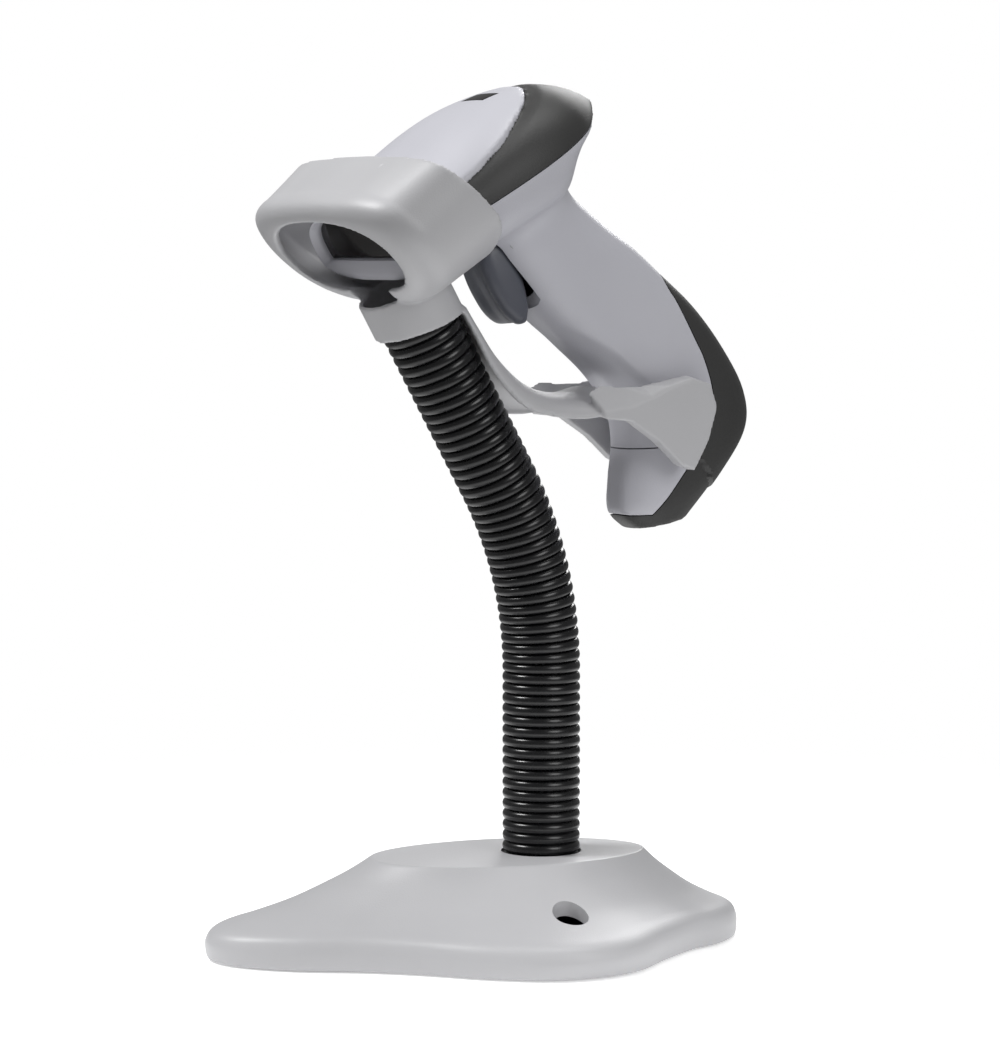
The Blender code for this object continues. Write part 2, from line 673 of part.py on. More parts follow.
def make_housings():
    head_room = head_cavity("head_room")
    handle_room = handle_cavity("handle_room")
    handle_form = loft("handle_form", handle_rings(), parent=cradle)
    nose_face = NOSE_START + BEZEL_DEPTH
    nose_cut = slab("nose_cut", -FAR, nose_face + GAP)

    body = loft("main_housing", head_rings(), "body_plastic", cradle)
    boolean(body, handle_form, "UNION")
    boolean(body, level_box("over_split", HEAD_SPLIT, FAR))
    for cutter in (head_room, handle_room, nose_cut, behind("heel_side", -GAP / 2),
                   below("butt_side", GAP / 2)):
        boolean(body, cutter)
    for name, side in (("pin_boss_left", 1), ("pin_boss_right", -1)):
        boss = cross_cylinder(name, PIN_BOSS / 2, TRIGGER_SLOT_SIDE, PIN_BOSS_END, side)
        boolean(body, boss, "UNION")
    boolean(body, make_trigger_slot())
    boolean(body, cross_cylinder("pin_bore", TRIGGER_PIN / 2 + FIT_GAP, GAP - PIN_BOSS_END,
                                 PIN_BOSS_END - GAP))

    guard = loft("heel_guard", handle_rings(), "trim_plastic", cradle)
    boolean(guard, handle_room)
    boolean(guard, behind("heel_region", GAP / 2), "INTERSECT")
    outlet = ((16 * MM, -FAR), (28 * MM, -FAR), (28 * MM, -87 * MM), (16 * MM, -83 * MM))
    boolean(guard, prism("cable_outlet", outlet, -OUTLET_WIDTH / 2, OUTLET_WIDTH / 2,
                         parent=cradle))

    butt = loft("butt_cover", handle_rings(), "body_plastic", cradle)
    boolean(butt, handle_room)
    boolean(butt, behind("heel_region_butt", -GAP / 2))
    boolean(butt, below("butt_region", -GAP / 2), "INTERSECT")

    under_split = level_box("under_split", -FAR, HEAD_SPLIT + GAP)
    cover = loft("top_cover", head_rings(), "body_plastic", cradle)
    for cutter in (head_room, under_split, nose_cut):
        boolean(cover, cutter)
    boolean(cover, tongue_region("tongue_region", 0), "INTERSECT")
    boolean(cover, lamp_region("lamp_room", GAP))
    lamp = loft("indicator_lens", head_rings(), "indicator", cradle)
    boolean(lamp, head_room)
    boolean(lamp, lamp_region("lamp_region", 0), "INTERSECT")

    trim = loft("head_trim", head_rings(), "trim_plastic", cradle)
    for cutter in (head_room, under_split, tongue_region("tongue_room", GAP)):
        boolean(trim, cutter)

    bezel = loft("nose_bezel", head_rings(), "body_plastic", cradle)
    boolean(bezel, head_room)
    boolean(bezel, slab("bezel_region", nose_face, FAR))


make_housings()


# ---------------------------------------------------------------- holder
# Half outlines of the hood seen along the barrel, x and height t: front, back and mouth.
HOOD_FRONT_OUTLINE = (
    (0, 39.8 * MM), (13 * MM, 39.2 * MM), (25 * MM, 37.2 * MM), (33 * MM, 33.2 * MM),
    (38 * MM, 27 * MM), (38.8 * MM, 20 * MM), (35.6 * MM, 12.5 * MM), (28.5 * MM, 6.5 * MM),
    (19.5 * MM, 2.6 * MM), (10 * MM, 0.8 * MM), (0, 0.2 * MM),
)
HOOD_BACK_OUTLINE = (
    (0, 41.8 * MM), (13 * MM, 41.4 * MM), (25 * MM, 39.8 * MM), (34.5 * MM, 36 * MM),
    (40.2 * MM, 30 * MM), (41.4 * MM, 23.5 * MM), (38.4 * MM, 16 * MM), (29 * MM, 8.6 * MM),
    (19.5 * MM, 3.6 * MM), (10 * MM, 1.2 * MM), (0, 0.5 * MM),
)
MOUTH_OUTLINE = (
    (0, 33.6 * MM), (10 * MM, 33.1 * MM), (19 * MM, 31.3 * MM), (25.5 * MM, 28 * MM),
    (28.8 * MM, 23.4 * MM), (28.9 * MM, 18.6 * MM), (26.6 * MM, 14 * MM),
    (21.6 * MM, 10.6 * MM), (14.5 * MM, 8.8 * MM), (7 * MM, 8.2 * MM), (0, 8 * MM),
)
HOOD_FRONT = -23.2 * MM
HOOD_FRONT_SLOPE = -0.286
HOOD_BACK = 7.2 * MM
HOOD_BACK_SLOPE = -0.43
HOOD_BACK_LIMIT = 3 * MM
RIM_STEPS = 3


def hood_outline(half):
    return [(x, t) for x, t in through(mirrored(half), 2, closed=True)]


def drawn_in(outline, inset):
    """An outline moved inwards by an inset, along its own normals."""
    out = []
    count = len(outline)
    for i, (x, t) in enumerate(outline):
        before, after = outline[i - 1], outline[(i + 1) % count]
        along = Vector((after[0] - before[0], after[1] - before[1])).normalized()
        out.append((x + along.y * inset, t - along.x * inset))
    return out


def hood_ring(outline, start, slope, back=0.0):
    return [(x, start + slope * t + back, t) for x, t in outline]


def hood_back_ring(outline):
    """The back edge leans forwards at the top and is cut off square at the trigger."""
    return [(x, min(HOOD_BACK + HOOD_BACK_SLOPE * t, HOOD_BACK_LIMIT), t) for x, t in outline]


def make_hood():
    outer = hood_outline(HOOD_FRONT_OUTLINE)
    outer_back = hood_outline(HOOD_BACK_OUTLINE)
    mouth = hood_outline(MOUTH_OUTLINE)
    front = (HOOD_FRONT, HOOD_FRONT_SLOPE)
    rings = []
    for step in range(RIM_STEPS + 1):
        turn = math.pi / 2 * step / RIM_STEPS
        share = math.sin(turn)
        blend = [(m[0] + (o[0] - m[0]) * share, m[1] + (o[1] - m[1]) * share)
                 for m, o in zip(mouth, outer)]
        rings.append(hood_ring(blend, *front, HOOD_RIM * (1 - math.cos(turn))))
    rings.append(hood_back_ring(outer_back))
    rings.append(hood_back_ring(drawn_in(outer_back, HOOD_WALL)))
    rings.append(hood_ring(drawn_in(outer, HOOD_WALL), *front, HOOD_RIM))
    rings.append(hood_ring(mouth, *front, HOOD_WALL))
    hood = loft("holder_hood", rings, "holder_plastic", cradle, closed=True)

    axis = Matrix.Translation((0, -COLLAR_BACK, 0))
    outside = NECK_OD / 2 + RUNNING_GAP + COLLAR_WALL
    floor_low = COLLAR_GRIP - COLLAR_DROP + 2 * GAP
    floor_high = floor_low + COLLAR_FLOOR
    boolean(hood, cylinder("collar", outside, -COLLAR_DROP, COLLAR_TOP, parent=cradle,
                           matrix=axis, segments=32), "UNION")
    bore = NECK_OD / 2 + RUNNING_GAP
    boolean(hood, cylinder("collar_socket", bore, -FAR, floor_low, parent=cradle, matrix=axis,
                           segments=32))
    boolean(hood, cylinder("collar_cup", bore, floor_high, COLLAR_TOP + 6 * MM, parent=cradle,
                           matrix=axis, segments=32))
    boolean(hood, cylinder("neck_screw_hole", NECK_SCREW / 2 + GAP, -COLLAR_DROP, 0,
                           parent=cradle, matrix=axis, segments=12))
    boolean(hood, box("mouth_notch", (-bore * 0.93, -FAR, CUP_FRONT),
                      (bore * 0.93, -COLLAR_BACK, 11 * MM), parent=cradle))
    boolean(hood, loft("head_clearance", head_rings(-FIT_GAP), parent=cradle))
    head_low = floor_high + GAP
    screw = [(0, head_low + 1.9 * MM), (NECK_SCREW_HEAD / 2 * 0.7, head_low + 1.9 * MM),
             (NECK_SCREW_HEAD / 2, head_low + 1 * MM), (NECK_SCREW_HEAD / 2, head_low),
             (NECK_SCREW / 2, head_low), (NECK_SCREW / 2, head_low - NECK_SCREW_LENGTH),
             (0, head_low - NECK_SCREW_LENGTH)]
    turned("neck_screw", screw, "steel", cradle, axis, 12)


# Arm stations: the crown on the mid-plane, the rims at the sides, as (s, t), half width.
ARM_STATIONS = (
    ((-2.1 * MM, -COLLAR_DROP - GAP), (-9.1 * MM, -COLLAR_DROP - GAP), 11.7 * MM),
    ((-2 * MM, -16 * MM), (-9.3 * MM, -17 * MM), 12.2 * MM),
    ((-1.6 * MM, -26 * MM), (-9 * MM, -28 * MM), 13.8 * MM),
    ((1.5 * MM, -36 * MM), (-6.5 * MM, -38.5 * MM), 15.6 * MM),
    ((7 * MM, -44 * MM), (-1 * MM, -46.5 * MM), 16.8 * MM),
    ((14.5 * MM, -49.8 * MM), (8 * MM, -53 * MM), 17.8 * MM),
    ((23 * MM, -53 * MM), (17.3 * MM, -57 * MM), 18.4 * MM),
)
ARM_ARC = 8
# Outlines of a wing beside the handle: along the seam, and along the crease further out.
WING_SEAM = (
    (10 * MM, -46 * MM), (17.4 * MM, -46.3 * MM), (23.7 * MM, -50.8 * MM),
    (29.8 * MM, -54.5 * MM), (36.6 * MM, -57 * MM), (44.2 * MM, -59.8 * MM),
    (48.6 * MM, -65 * MM), (46 * MM, -72 * MM), (31.5 * MM, -83.5 * MM),
    (28 * MM, -80 * MM), (13 * MM, -55.4 * MM),
)
WING_CREASE = (
    (10 * MM, -51 * MM), (17 * MM, -54.6 * MM), (23 * MM, -57 * MM),
    (29.8 * MM, -58.2 * MM), (36.6 * MM, -58.8 * MM), (43.4 * MM, -60.4 * MM),
    (48.3 * MM, -65.2 * MM), (46 * MM, -72 * MM), (31.5 * MM, -83.5 * MM),
    (28 * MM, -80 * MM), (13 * MM, -56 * MM),
)
WING_INNER = HANDLE_WIDTH / 2 + RUNNING_GAP


def arm_ring(crown, rim, half_width):
    """A gutter section, hollow towards the neck: outer arc, then inner arc back."""
    outer, inner = [], []
    depth = Vector((crown[0] - rim[0], crown[1] - rim[1]))
    direction = depth.normalized()
    for i in range(ARM_ARC + 1):
        angle = math.pi * (i / ARM_ARC - 0.5)
        x, rise = math.sin(angle), math.cos(angle)
        for arc, thickness in ((outer, 0), (inner, ARM_WALL)):
            reach = max(depth.length * rise - thickness * rise, 0)
            arc.append((x * (half_width - thickness), rim[0] + direction.x * reach,
                        rim[1] + direction.y * reach))
    return outer + inner[::-1]


def make_arm():
    arm = loft("holder_arm", [arm_ring(*station) for station in ARM_STATIONS],
               "holder_plastic", cradle)
    for name, side in (("wing_left", 1), ("wing_right", -1)):
        levels = ((WING_SEAM, side * WING_INNER), (WING_CREASE, side * (WING_INNER + WING_WALL)))
        rings = [[(level, a, b) for a, b in outline] for outline, level in levels]
        boolean(arm, loft(name, rings, parent=cradle), "UNION")
    clearance = loft("handle_clearance", handle_rings(-RUNNING_GAP), parent=cradle)
    boolean(arm, clearance)


make_hood()
make_arm()


# ---------------------------------------------------------------- trigger
TRIGGER_OUTLINE = (
    (7.6 * MM, 2.2 * MM), (6 * MM, -1 * MM), (5.6 * MM, -7 * MM), (6.2 * MM, -13 * MM),
    (8 * MM, -17.8 * MM), (10.2 * MM, -20.4 * MM), (12.6 * MM, -21.4 * MM),
    (14.4 * MM, -20.4 * MM), (15.4 * MM, -18.6 * MM), (16.3 * MM, -15 * MM),
    (16.9 * MM, -8 * MM), (17.9 * MM, 1 * MM), (15.5 * MM, 2.4 * MM),
)


def make_trigger():
    trigger = prism("trigger", TRIGGER_OUTLINE, -TRIGGER_WIDTH / 2, TRIGGER_WIDTH / 2,
                    "trigger_plastic", cradle, bevel=1.2 * MM)
    boolean(trigger, cross_cylinder("trigger_bore", TRIGGER_PIN / 2 + FIT_GAP, -FAR, FAR))
    boolean(trigger, cross_cylinder("spring_room", SPRING_OUTER + GAP, -SPRING_ROOM, SPRING_ROOM))
    reach = PIN_BOSS_END - 0.6 * MM
    cross_cylinder("trigger_pin", TRIGGER_PIN / 2, -reach, reach, finish="steel")


def make_spring():
    """The torsion spring round the pin, its legs under and behind the trigger's top."""
    radius = TRIGGER_PIN / 2 + GAP + SPRING_WIRE / 2
    pitch = SPRING_WIRE + GAP / 3
    per_turn = 10
    count = int(SPRING_TURNS * per_turn)
    points = []
    for i in range(count + 1):
        angle = 2 * math.pi * i / per_turn
        points.append(((i / per_turn - SPRING_TURNS / 2) * pitch, math.cos(angle) * radius,
                       math.sin(angle) * radius))
    curve = bpy.data.curves.new("trigger_spring", "CURVE")
    curve.dimensions = "3D"
    curve.bevel_depth = SPRING_WIRE / 2
    curve.bevel_resolution = 1
    curve.use_fill_caps = True
    spline = curve.splines.new("POLY")
    spline.points.add(len(points) - 1)
    for point, place in zip(spline.points, points):
        point.co = (*place, 1)
    curve.materials.append(MATERIALS["steel"])
    spring = bpy.data.objects.new("trigger_spring", curve)
    parts.objects.link(spring)
    spring.parent = cradle
    spring.matrix_local = Matrix.Translation((0, *TRIGGER_PIVOT))


make_trigger()
make_spring()


# ---------------------------------------------------------------- inside the scanner
WINDOW_BACK = NOSE_START + BEZEL_DEPTH - 1 * MM
WINDOW_THICKNESS = 1.6 * MM
ENGINE_FRONT = -6 * MM
ENGINE_DEPTH = 16 * MM
ENGINE_WIDTH = 26 * MM
ENGINE_LOW = 12 * MM
ENGINE_HIGH = 29 * MM
LENS_RADIUS = 4.5 * MM
LENS_LENGTH = 4.5 * MM
BOARD_THICKNESS = 1.6 * MM
MAIN_BOARD_WIDTH = 40 * MM
MAIN_BOARD_LENGTH = 30 * MM
MAIN_BOARD_LEVEL = 12 * MM
SWITCH_FRONT = 21.4 * MM
LAMP_UNDERSIDE = 33.4 * MM


def make_window():
    s, top, middle, bottom, width, squareness = HEAD_STATIONS[0]
    inset = HEAD_WALL + FIT_GAP
    rings = [rounded_section((depth, middle), (0, 1), top - middle - inset,
                             middle - bottom - inset, width * HALF_HEAD - inset, squareness)
             for depth in (WINDOW_BACK - WINDOW_THICKNESS, WINDOW_BACK)]
    loft("scan_window", rings, "window", cradle)


def make_engine():
    half = ENGINE_WIDTH / 2
    back = ENGINE_FRONT + ENGINE_DEPTH
    middle = (ENGINE_LOW + ENGINE_HIGH) / 2
    box("engine_frame", (-half, ENGINE_FRONT, ENGINE_LOW), (half, back, ENGINE_HIGH),
        "black_plastic", cradle, bevel=0.8 * MM)
    floor = HEAD_STATIONS[1][3] + HEAD_WALL + FIT_GAP
    box("engine_bracket", (-half * 0.55, ENGINE_FRONT + 2 * MM, floor),
        (half * 0.55, back - 1 * MM, ENGINE_LOW - GAP), "black_plastic", cradle)
    forwards = Matrix.Rotation(math.pi / 2, 4, "X")
    for name, x, radius, length, finish in (
            ("engine_lens", 0, LENS_RADIUS, LENS_LENGTH, "lens_glass"),
            ("light_emitter_1", half * 0.72, LENS_RADIUS * 0.55, LENS_LENGTH * 0.5, "indicator"),
            ("light_emitter_2", -half * 0.72, LENS_RADIUS * 0.55, LENS_LENGTH * 0.5,
             "indicator")):
        place = Matrix.Translation((x, ENGINE_FRONT - GAP, middle)) @ forwards
        cylinder(name, radius, 0, length, finish, cradle, place, 20)
    board_back = back + GAP + BOARD_THICKNESS
    box("engine_board", (-half, back + GAP, ENGINE_LOW - 0.5 * MM),
        (half, board_back, ENGINE_HIGH), "board", cradle)
    return board_back


def make_electronics():
    start = make_engine() + GAP
    end = start + MAIN_BOARD_LENGTH
    level = MAIN_BOARD_LEVEL
    top = level + BOARD_THICKNESS
    box("main_board", (-MAIN_BOARD_WIDTH / 2, start, level), (MAIN_BOARD_WIDTH / 2, end, top),
        "board", cradle)
    place = Matrix.Translation((10 * MM, start + 14 * MM, top + GAP))
    cylinder("buzzer", 6 * MM, 0, 4.5 * MM, "black_plastic", cradle, place, 20)
    back = SWITCH_FRONT + 6 * MM
    box("trigger_switch", (-3.5 * MM, SWITCH_FRONT, -16 * MM), (3.5 * MM, back, -9 * MM),
        "black_plastic", cradle, bevel=0.5 * MM)
    box("switch_board", (-8 * MM, back + GAP, -24 * MM),
        (8 * MM, back + GAP + BOARD_THICKNESS, -2 * MM), "board", cradle)
    ribbon = back + 2 * GAP + BOARD_THICKNESS
    box("ribbon_cable", (-6 * MM, ribbon, -12 * MM), (6 * MM, ribbon + 0.5 * MM, level - GAP),
        "black_plastic", cradle)


def make_light_pipe():
    """The clear pipe that carries the status light up to the lamp in the tongue."""
    low = MAIN_BOARD_LEVEL + BOARD_THICKNESS + GAP
    place = Matrix.Translation((0, (LAMP_FRONT + LAMP_BACK) / 2, 0))
    cylinder("light_pipe", 1.5 * MM, low, LAMP_UNDERSIDE, "lens_glass", cradle, place, 12)


def make_socket():
    outline = ((23.9 * MM, -75 * MM), (32.6 * MM, -75 * MM), (30.6 * MM, -83.8 * MM),
               (19.5 * MM, -83.8 * MM))
    socket = prism("cable_socket", outline, -6.5 * MM, 6.5 * MM, "black_plastic", cradle)
    jack = ((19 * MM, -FAR), (27 * MM, -FAR), (29 * MM, -77 * MM), (23 * MM, -77 * MM))
    boolean(socket, prism("jack", jack, -5 * MM, 5 * MM, parent=cradle))


make_window()
make_electronics()
make_light_pipe()
make_socket()
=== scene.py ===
"""The looks of a handheld barcode scanner in its gooseneck stand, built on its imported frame.

The scanner and its holder are drawn in the cradle frame: x across, s backwards along the
barrel, t up from it. Outlines and stations below are in millimetres of that frame.
"""

import json
import math

import bmesh
import bpy
import numpy as np
from bpy.props import FloatProperty, FloatVectorProperty, PointerProperty
from bpy.types import Operator, Panel, PropertyGroup
from mathutils import Matrix, Vector
from mathutils.bvhtree import BVHTree


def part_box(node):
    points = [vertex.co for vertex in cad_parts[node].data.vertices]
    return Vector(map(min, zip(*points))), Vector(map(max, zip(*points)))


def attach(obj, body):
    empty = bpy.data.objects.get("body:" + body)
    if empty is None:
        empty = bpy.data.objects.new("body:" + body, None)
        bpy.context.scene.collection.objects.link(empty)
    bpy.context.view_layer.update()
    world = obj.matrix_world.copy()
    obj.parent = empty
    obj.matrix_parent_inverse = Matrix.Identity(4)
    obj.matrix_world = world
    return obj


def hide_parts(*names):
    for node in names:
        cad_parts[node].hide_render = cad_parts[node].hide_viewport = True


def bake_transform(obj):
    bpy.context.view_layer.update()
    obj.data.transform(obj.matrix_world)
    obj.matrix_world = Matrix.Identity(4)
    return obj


bl_info = {
    "name": "Barcode scanner on a gooseneck stand",
    "version": (1, 0, 0),
    "blender": (4, 5, 0),
    "location": "3D View > Sidebar > Scanner stand",
    "description": "Builds the finished surfaces of a barcode scanner and its stand",
    "category": "Add Mesh",
}

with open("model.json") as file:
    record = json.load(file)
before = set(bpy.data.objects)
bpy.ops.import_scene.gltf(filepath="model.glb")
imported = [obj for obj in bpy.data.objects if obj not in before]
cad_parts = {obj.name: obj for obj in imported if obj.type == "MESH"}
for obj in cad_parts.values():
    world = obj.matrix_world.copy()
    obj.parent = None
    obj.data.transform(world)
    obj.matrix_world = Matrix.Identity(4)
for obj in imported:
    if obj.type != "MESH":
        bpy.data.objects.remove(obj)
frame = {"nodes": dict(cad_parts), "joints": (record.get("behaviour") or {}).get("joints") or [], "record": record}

MM = 0.001
JOINTS = {joint["name"]: joint for joint in frame["joints"]}


# ---- places from the frame
def cradle_frame():
    """The leaning frame of scanner and holder, found from the trigger's pin and the slide."""
    along = Vector(JOINTS["scanner_withdraw"]["axis"]).normalized()
    across = Vector((1, 0, 0))
    up = across.cross(along)
    pivot = Vector(JOINTS["trigger_pull"]["pos_m"])
    turn = Matrix((across, along, up)).transposed().to_4x4()
    return Matrix.Translation(pivot - along * PIVOT_S * MM - up * PIVOT_T * MM) @ turn


# The trigger's pin in the cradle frame.
PIVOT_S, PIVOT_T = 15.5, -0.5
CRADLE = cradle_frame()
LEAN = math.asin(JOINTS["scanner_withdraw"]["axis"][2])
SLEEVE_LOW, SLEEVE_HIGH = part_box("neck_sleeve_1")
NECK_DIAMETER = (SLEEVE_HIGH - SLEEVE_LOW).x
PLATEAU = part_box("base_shell")[1].z
NECK_JOINTS = [joint for name, joint in JOINTS.items() if name.startswith("neck_")]


# ---- settings
def length(name, description, default):
    return FloatProperty(name=name, description=description, default=default,
                         subtype="DISTANCE", unit="LENGTH", precision=5)


def angle(name, description, degrees):
    return FloatProperty(name=name, description=description, default=math.radians(degrees),
                         subtype="ANGLE", unit="ROTATION")


def colour(name, description, default):
    return FloatVectorProperty(name=name, description=description, default=default,
                               subtype="COLOR", size=3, min=0.0, max=1.0)


class BaseSettings(PropertyGroup):
    """Sizes and colour of the freeform base."""
    length: length("Length", "Length of the base along its own axis", 0.157)
    width: length("Width", "Width of the base across its own axis", 0.116)
    turn: angle("Turn", "Turn of the base about the neck", -14)
    wall: length("Wall", "Thickness of the shell", 0.0024)
    plateau_length: length("Plateau length", "Length of the flat top", 0.080)
    plateau_width: length("Plateau width", "Width of the flat top", 0.046)
    well: length("Screw well", "Bore of the wells for the table screws", 0.010)
    colour: colour("Colour", "Plastic of the base and holder", (0.49, 0.49, 0.505))


class NeckSettings(PropertyGroup):
    """Shape of the corrugated sleeve."""
    upright: length("Upright", "Upright length of the neck above the base", 0.051)
    bend_radius: length("Bend radius", "Radius of the neck's bend", 0.110)
    groove: length("Groove", "Depth of the grooves between the rings", 0.0014)
    rings: FloatProperty(name="Rings", description="Rings between two bending points",
                         default=6.5, min=2)
    colour: colour("Colour", "Plastic of the sleeve", (0.0035, 0.0035, 0.004))


class HolderSettings(PropertyGroup):
    """Sizes of the hood, its collar and the arm below it."""
    wall: length("Wall", "Thickness of the moulding", 0.0024)
    rim: length("Rim", "Radius of the hood's rounded front rim", 0.0085)
    collar_wall: length("Collar wall", "Thickness of the collar round the neck", 0.00145)
    grain: length("Grain", "Size of the cells that the moulding is rebuilt from", 0.0006)


class ScannerSettings(PropertyGroup):
    """Sizes and colours of the scanner."""
    head_width: length("Head width", "Width of the head", 0.066)
    handle_width: length("Handle width", "Width of the handle", 0.030)
    wall: length("Wall", "Thickness of the housings", 0.0022)
    seam: length("Seam", "Gap between two housings", 0.00035)
    cell: length("Cell", "Size of the cells that the housings are rebuilt from", 0.0009)
    body_colour: colour("Body", "Plastic of the housings", (0.53, 0.53, 0.575))
    trim_colour: colour("Trim", "Plastic of the trim and heel guard", (0.03, 0.03, 0.0295))
    trigger_colour: colour("Trigger", "Plastic of the trigger", (0.085, 0.09, 0.11))


class StageSettings(PropertyGroup):
    """The camera's place and the floor."""
    azimuth: angle("Azimuth", "Camera's bearing from the front", 58)
    elevation: angle("Elevation", "Camera's height angle", 4.5)
    distance: length("Distance", "Distance from the camera to the stand", 1.0)
    lens: FloatProperty(name="Lens", description="Focal length", default=120.8,
                        unit="CAMERA")
    floor: colour("Floor", "Colour of the floor", (0.93, 0.93, 0.93))


# ---- shaders
class Shader:
    """A material with one Principled shader, and the nodes that feed it."""

    def __init__(self, name, **constants):
        self.material = bpy.data.materials.new(name)
        self.material.use_nodes = True
        self.nodes = self.material.node_tree.nodes
        self.links = self.material.node_tree.links
        self.surface = self.nodes["Principled BSDF"]
        self.drive(**constants)

    def feed(self, node, socket, value):
        if isinstance(value, bpy.types.NodeSocket):
            self.links.new(value, node.inputs[socket])
        else:
            slot = node.inputs[socket]
            is_colour = slot.type == "RGBA" and len(value) == 3
            slot.default_value = (*value, 1.0) if is_colour else value

    def node(self, kind, settings, sockets, output=0):
        """One node: its settings first, then the values or links of its sockets."""
        new = self.nodes.new(kind)
        for name, value in settings.items():
            setattr(new, name, value)
        for name, value in sockets.items():
            self.feed(new, name, value)
        return new.outputs[output]

    def maths(self, operation, first, second):
        return self.node("ShaderNodeMath", {"operation": operation}, {0: first, 1: second})

    def place(self):
        return self.node("ShaderNodeTexCoord", {}, {}, "Object")

    def noise(self, size, detail=3.0, stretch=(1, 1, 1)):
        """Noise from 0 to 1 whose blobs are about as wide as size, in metres."""
        scaled = self.node("ShaderNodeMapping", {}, {"Vector": self.place(), "Scale": stretch})
        return self.node("ShaderNodeTexNoise", {}, {"Vector": scaled, "Scale": 1 / size,
                                                    "Detail": detail})

    def between(self, factor, low, high):
        """A value from low to high as factor goes from 0 to 1, held at both ends."""
        return self.node("ShaderNodeMapRange", {}, {"Value": factor, "To Min": low,
                                                    "To Max": high})

    def mix(self, factor, first, second):
        return self.node("ShaderNodeMix", {"data_type": "RGBA"},
                         {0: factor, 6: first, 7: second}, 2)

    def bump(self, height, distance, strength=1.0):
        return self.node("ShaderNodeBump", {}, {"Height": height, "Distance": distance,
                                                "Strength": strength})

    def drive(self, **values):
        for socket, value in values.items():
            self.feed(self.surface, socket.replace("_", " "), value)
        return self.material


# ---- finishes
def moulded(name, tone, roughness=0.42, texture=0.00012):
    """Satin moulded plastic: a fine spark texture, slow shifts of tone and of sheen."""
    shader = Shader(name, IOR=1.5)
    cloud = shader.noise(0.03)
    fine = shader.noise(0.0004, 2.0)
    sheen = shader.between(cloud, roughness - 0.05, roughness + 0.06)
    shade = shader.mix(cloud, [c * 0.965 for c in tone], [min(c * 1.03, 1) for c in tone])
    spark = shader.maths("MULTIPLY", shader.maths("SUBTRACT", fine, 0.5), 0.05)
    return shader.drive(Base_Color=shade, Roughness=shader.maths("ADD", sheen, spark),
                        Normal=shader.bump(fine, texture, 0.35))


def glossy_sleeve(name, tone):
    """Black polished sleeve with a little dust in its sheen."""
    shader = Shader(name, IOR=1.5)
    streaks = shader.noise(0.004, 4.0, (1, 1, 0.25))
    dust = shader.noise(0.0012, 5.0)
    return shader.drive(Base_Color=shader.mix(dust, tone, [c * 1.9 for c in tone]),
                        Roughness=shader.between(streaks, 0.2, 0.34),
                        Normal=shader.bump(streaks, 0.00006, 0.3))


def smoked_window(name):
    shader = Shader(name, IOR=1.3)
    haze = shader.noise(0.008)
    return shader.drive(Base_Color=shader.mix(haze, (0.0025, 0.002, 0.002), (0.006, 0.004, 0.004)),
                        Roughness=shader.between(haze, 0.06, 0.12))


def brushed(name, tone, roughness=0.34):
    shader = Shader(name, Metallic=1.0)
    lines = shader.noise(0.0006, 3.0, (1, 1, 0.1))
    return shader.drive(Base_Color=shader.mix(lines, [c * 0.85 for c in tone], tone),
                        Roughness=shader.between(lines, roughness - 0.08, roughness + 0.1),
                        Normal=shader.bump(lines, 0.00005, 0.3))


def printed_board(name):
    """Green solder mask with lighter copper areas under it."""
    shader = Shader(name, IOR=1.5, Coat_Weight=0.3)
    areas = shader.node("ShaderNodeTexVoronoi", {"distance": "CHEBYCHEV"},
                        {"Vector": shader.place(), "Scale": 450.0})
    return shader.drive(Base_Color=shader.mix(areas, (0.03, 0.20, 0.08), (0.008, 0.09, 0.035)),
                        Roughness=shader.between(areas, 0.3, 0.45))


def clear_glass(name):
    shader = Shader(name, IOR=1.52, Transmission_Weight=0.6, Coat_Weight=0.5)
    bloom = shader.noise(0.003)
    return shader.drive(Base_Color=shader.mix(bloom, (0.30, 0.36, 0.42), (0.36, 0.42, 0.5)),
                        Roughness=shader.between(bloom, 0.02, 0.05))


def rubber_sheet(name):
    shader = Shader(name)
    grain = shader.noise(0.0007, 4.0)
    return shader.drive(Base_Color=shader.mix(grain, (0.018, 0.018, 0.018), (0.032, 0.032, 0.031)),
                        Roughness=shader.between(grain, 0.75, 0.9),
                        Normal=shader.bump(grain, 0.0002, 0.5))


# ---- surfaces
def through(points, steps, closed=False):
    """A smooth curve through points of any dimension (Catmull-Rom), steps to a span."""
    points = [np.asarray(point, float) for point in points]
    count = len(points)
    out = []
    for i in range(count if closed else count - 1):
        if closed:
            p0, p1, p2, p3 = (points[(i + k) % count] for k in (-1, 0, 1, 2))
        else:
            p0, p1, p2, p3 = (points[min(max(i + k, 0), count - 1)] for k in (-1, 0, 1, 2))
        for u in np.arange(steps) / steps:
            out.append(0.5 * (2 * p1 + (p2 - p0) * u + (2 * p0 - 5 * p1 + 4 * p2 - p3) * u ** 2
                              + (3 * p1 - p0 - 3 * p2 + p3) * u ** 3))
    if not closed:
        out.append(points[-1])
    return out


def mirrored(half):
    """A closed outline from its half at +x, first and last point on the mid-plane."""
    return list(half) + [(-x, y) for x, y in reversed(half[1:-1])]


def new_object(name, mesh):
    obj = bpy.data.objects.new(name, mesh)
    bpy.context.scene.collection.objects.link(obj)
    return obj


def from_bmesh(name, bm):
    bmesh.ops.recalc_face_normals(bm, faces=bm.faces)
    mesh = bpy.data.meshes.new(name)
    bm.to_mesh(mesh)
    bm.free()
    return new_object(name, mesh)


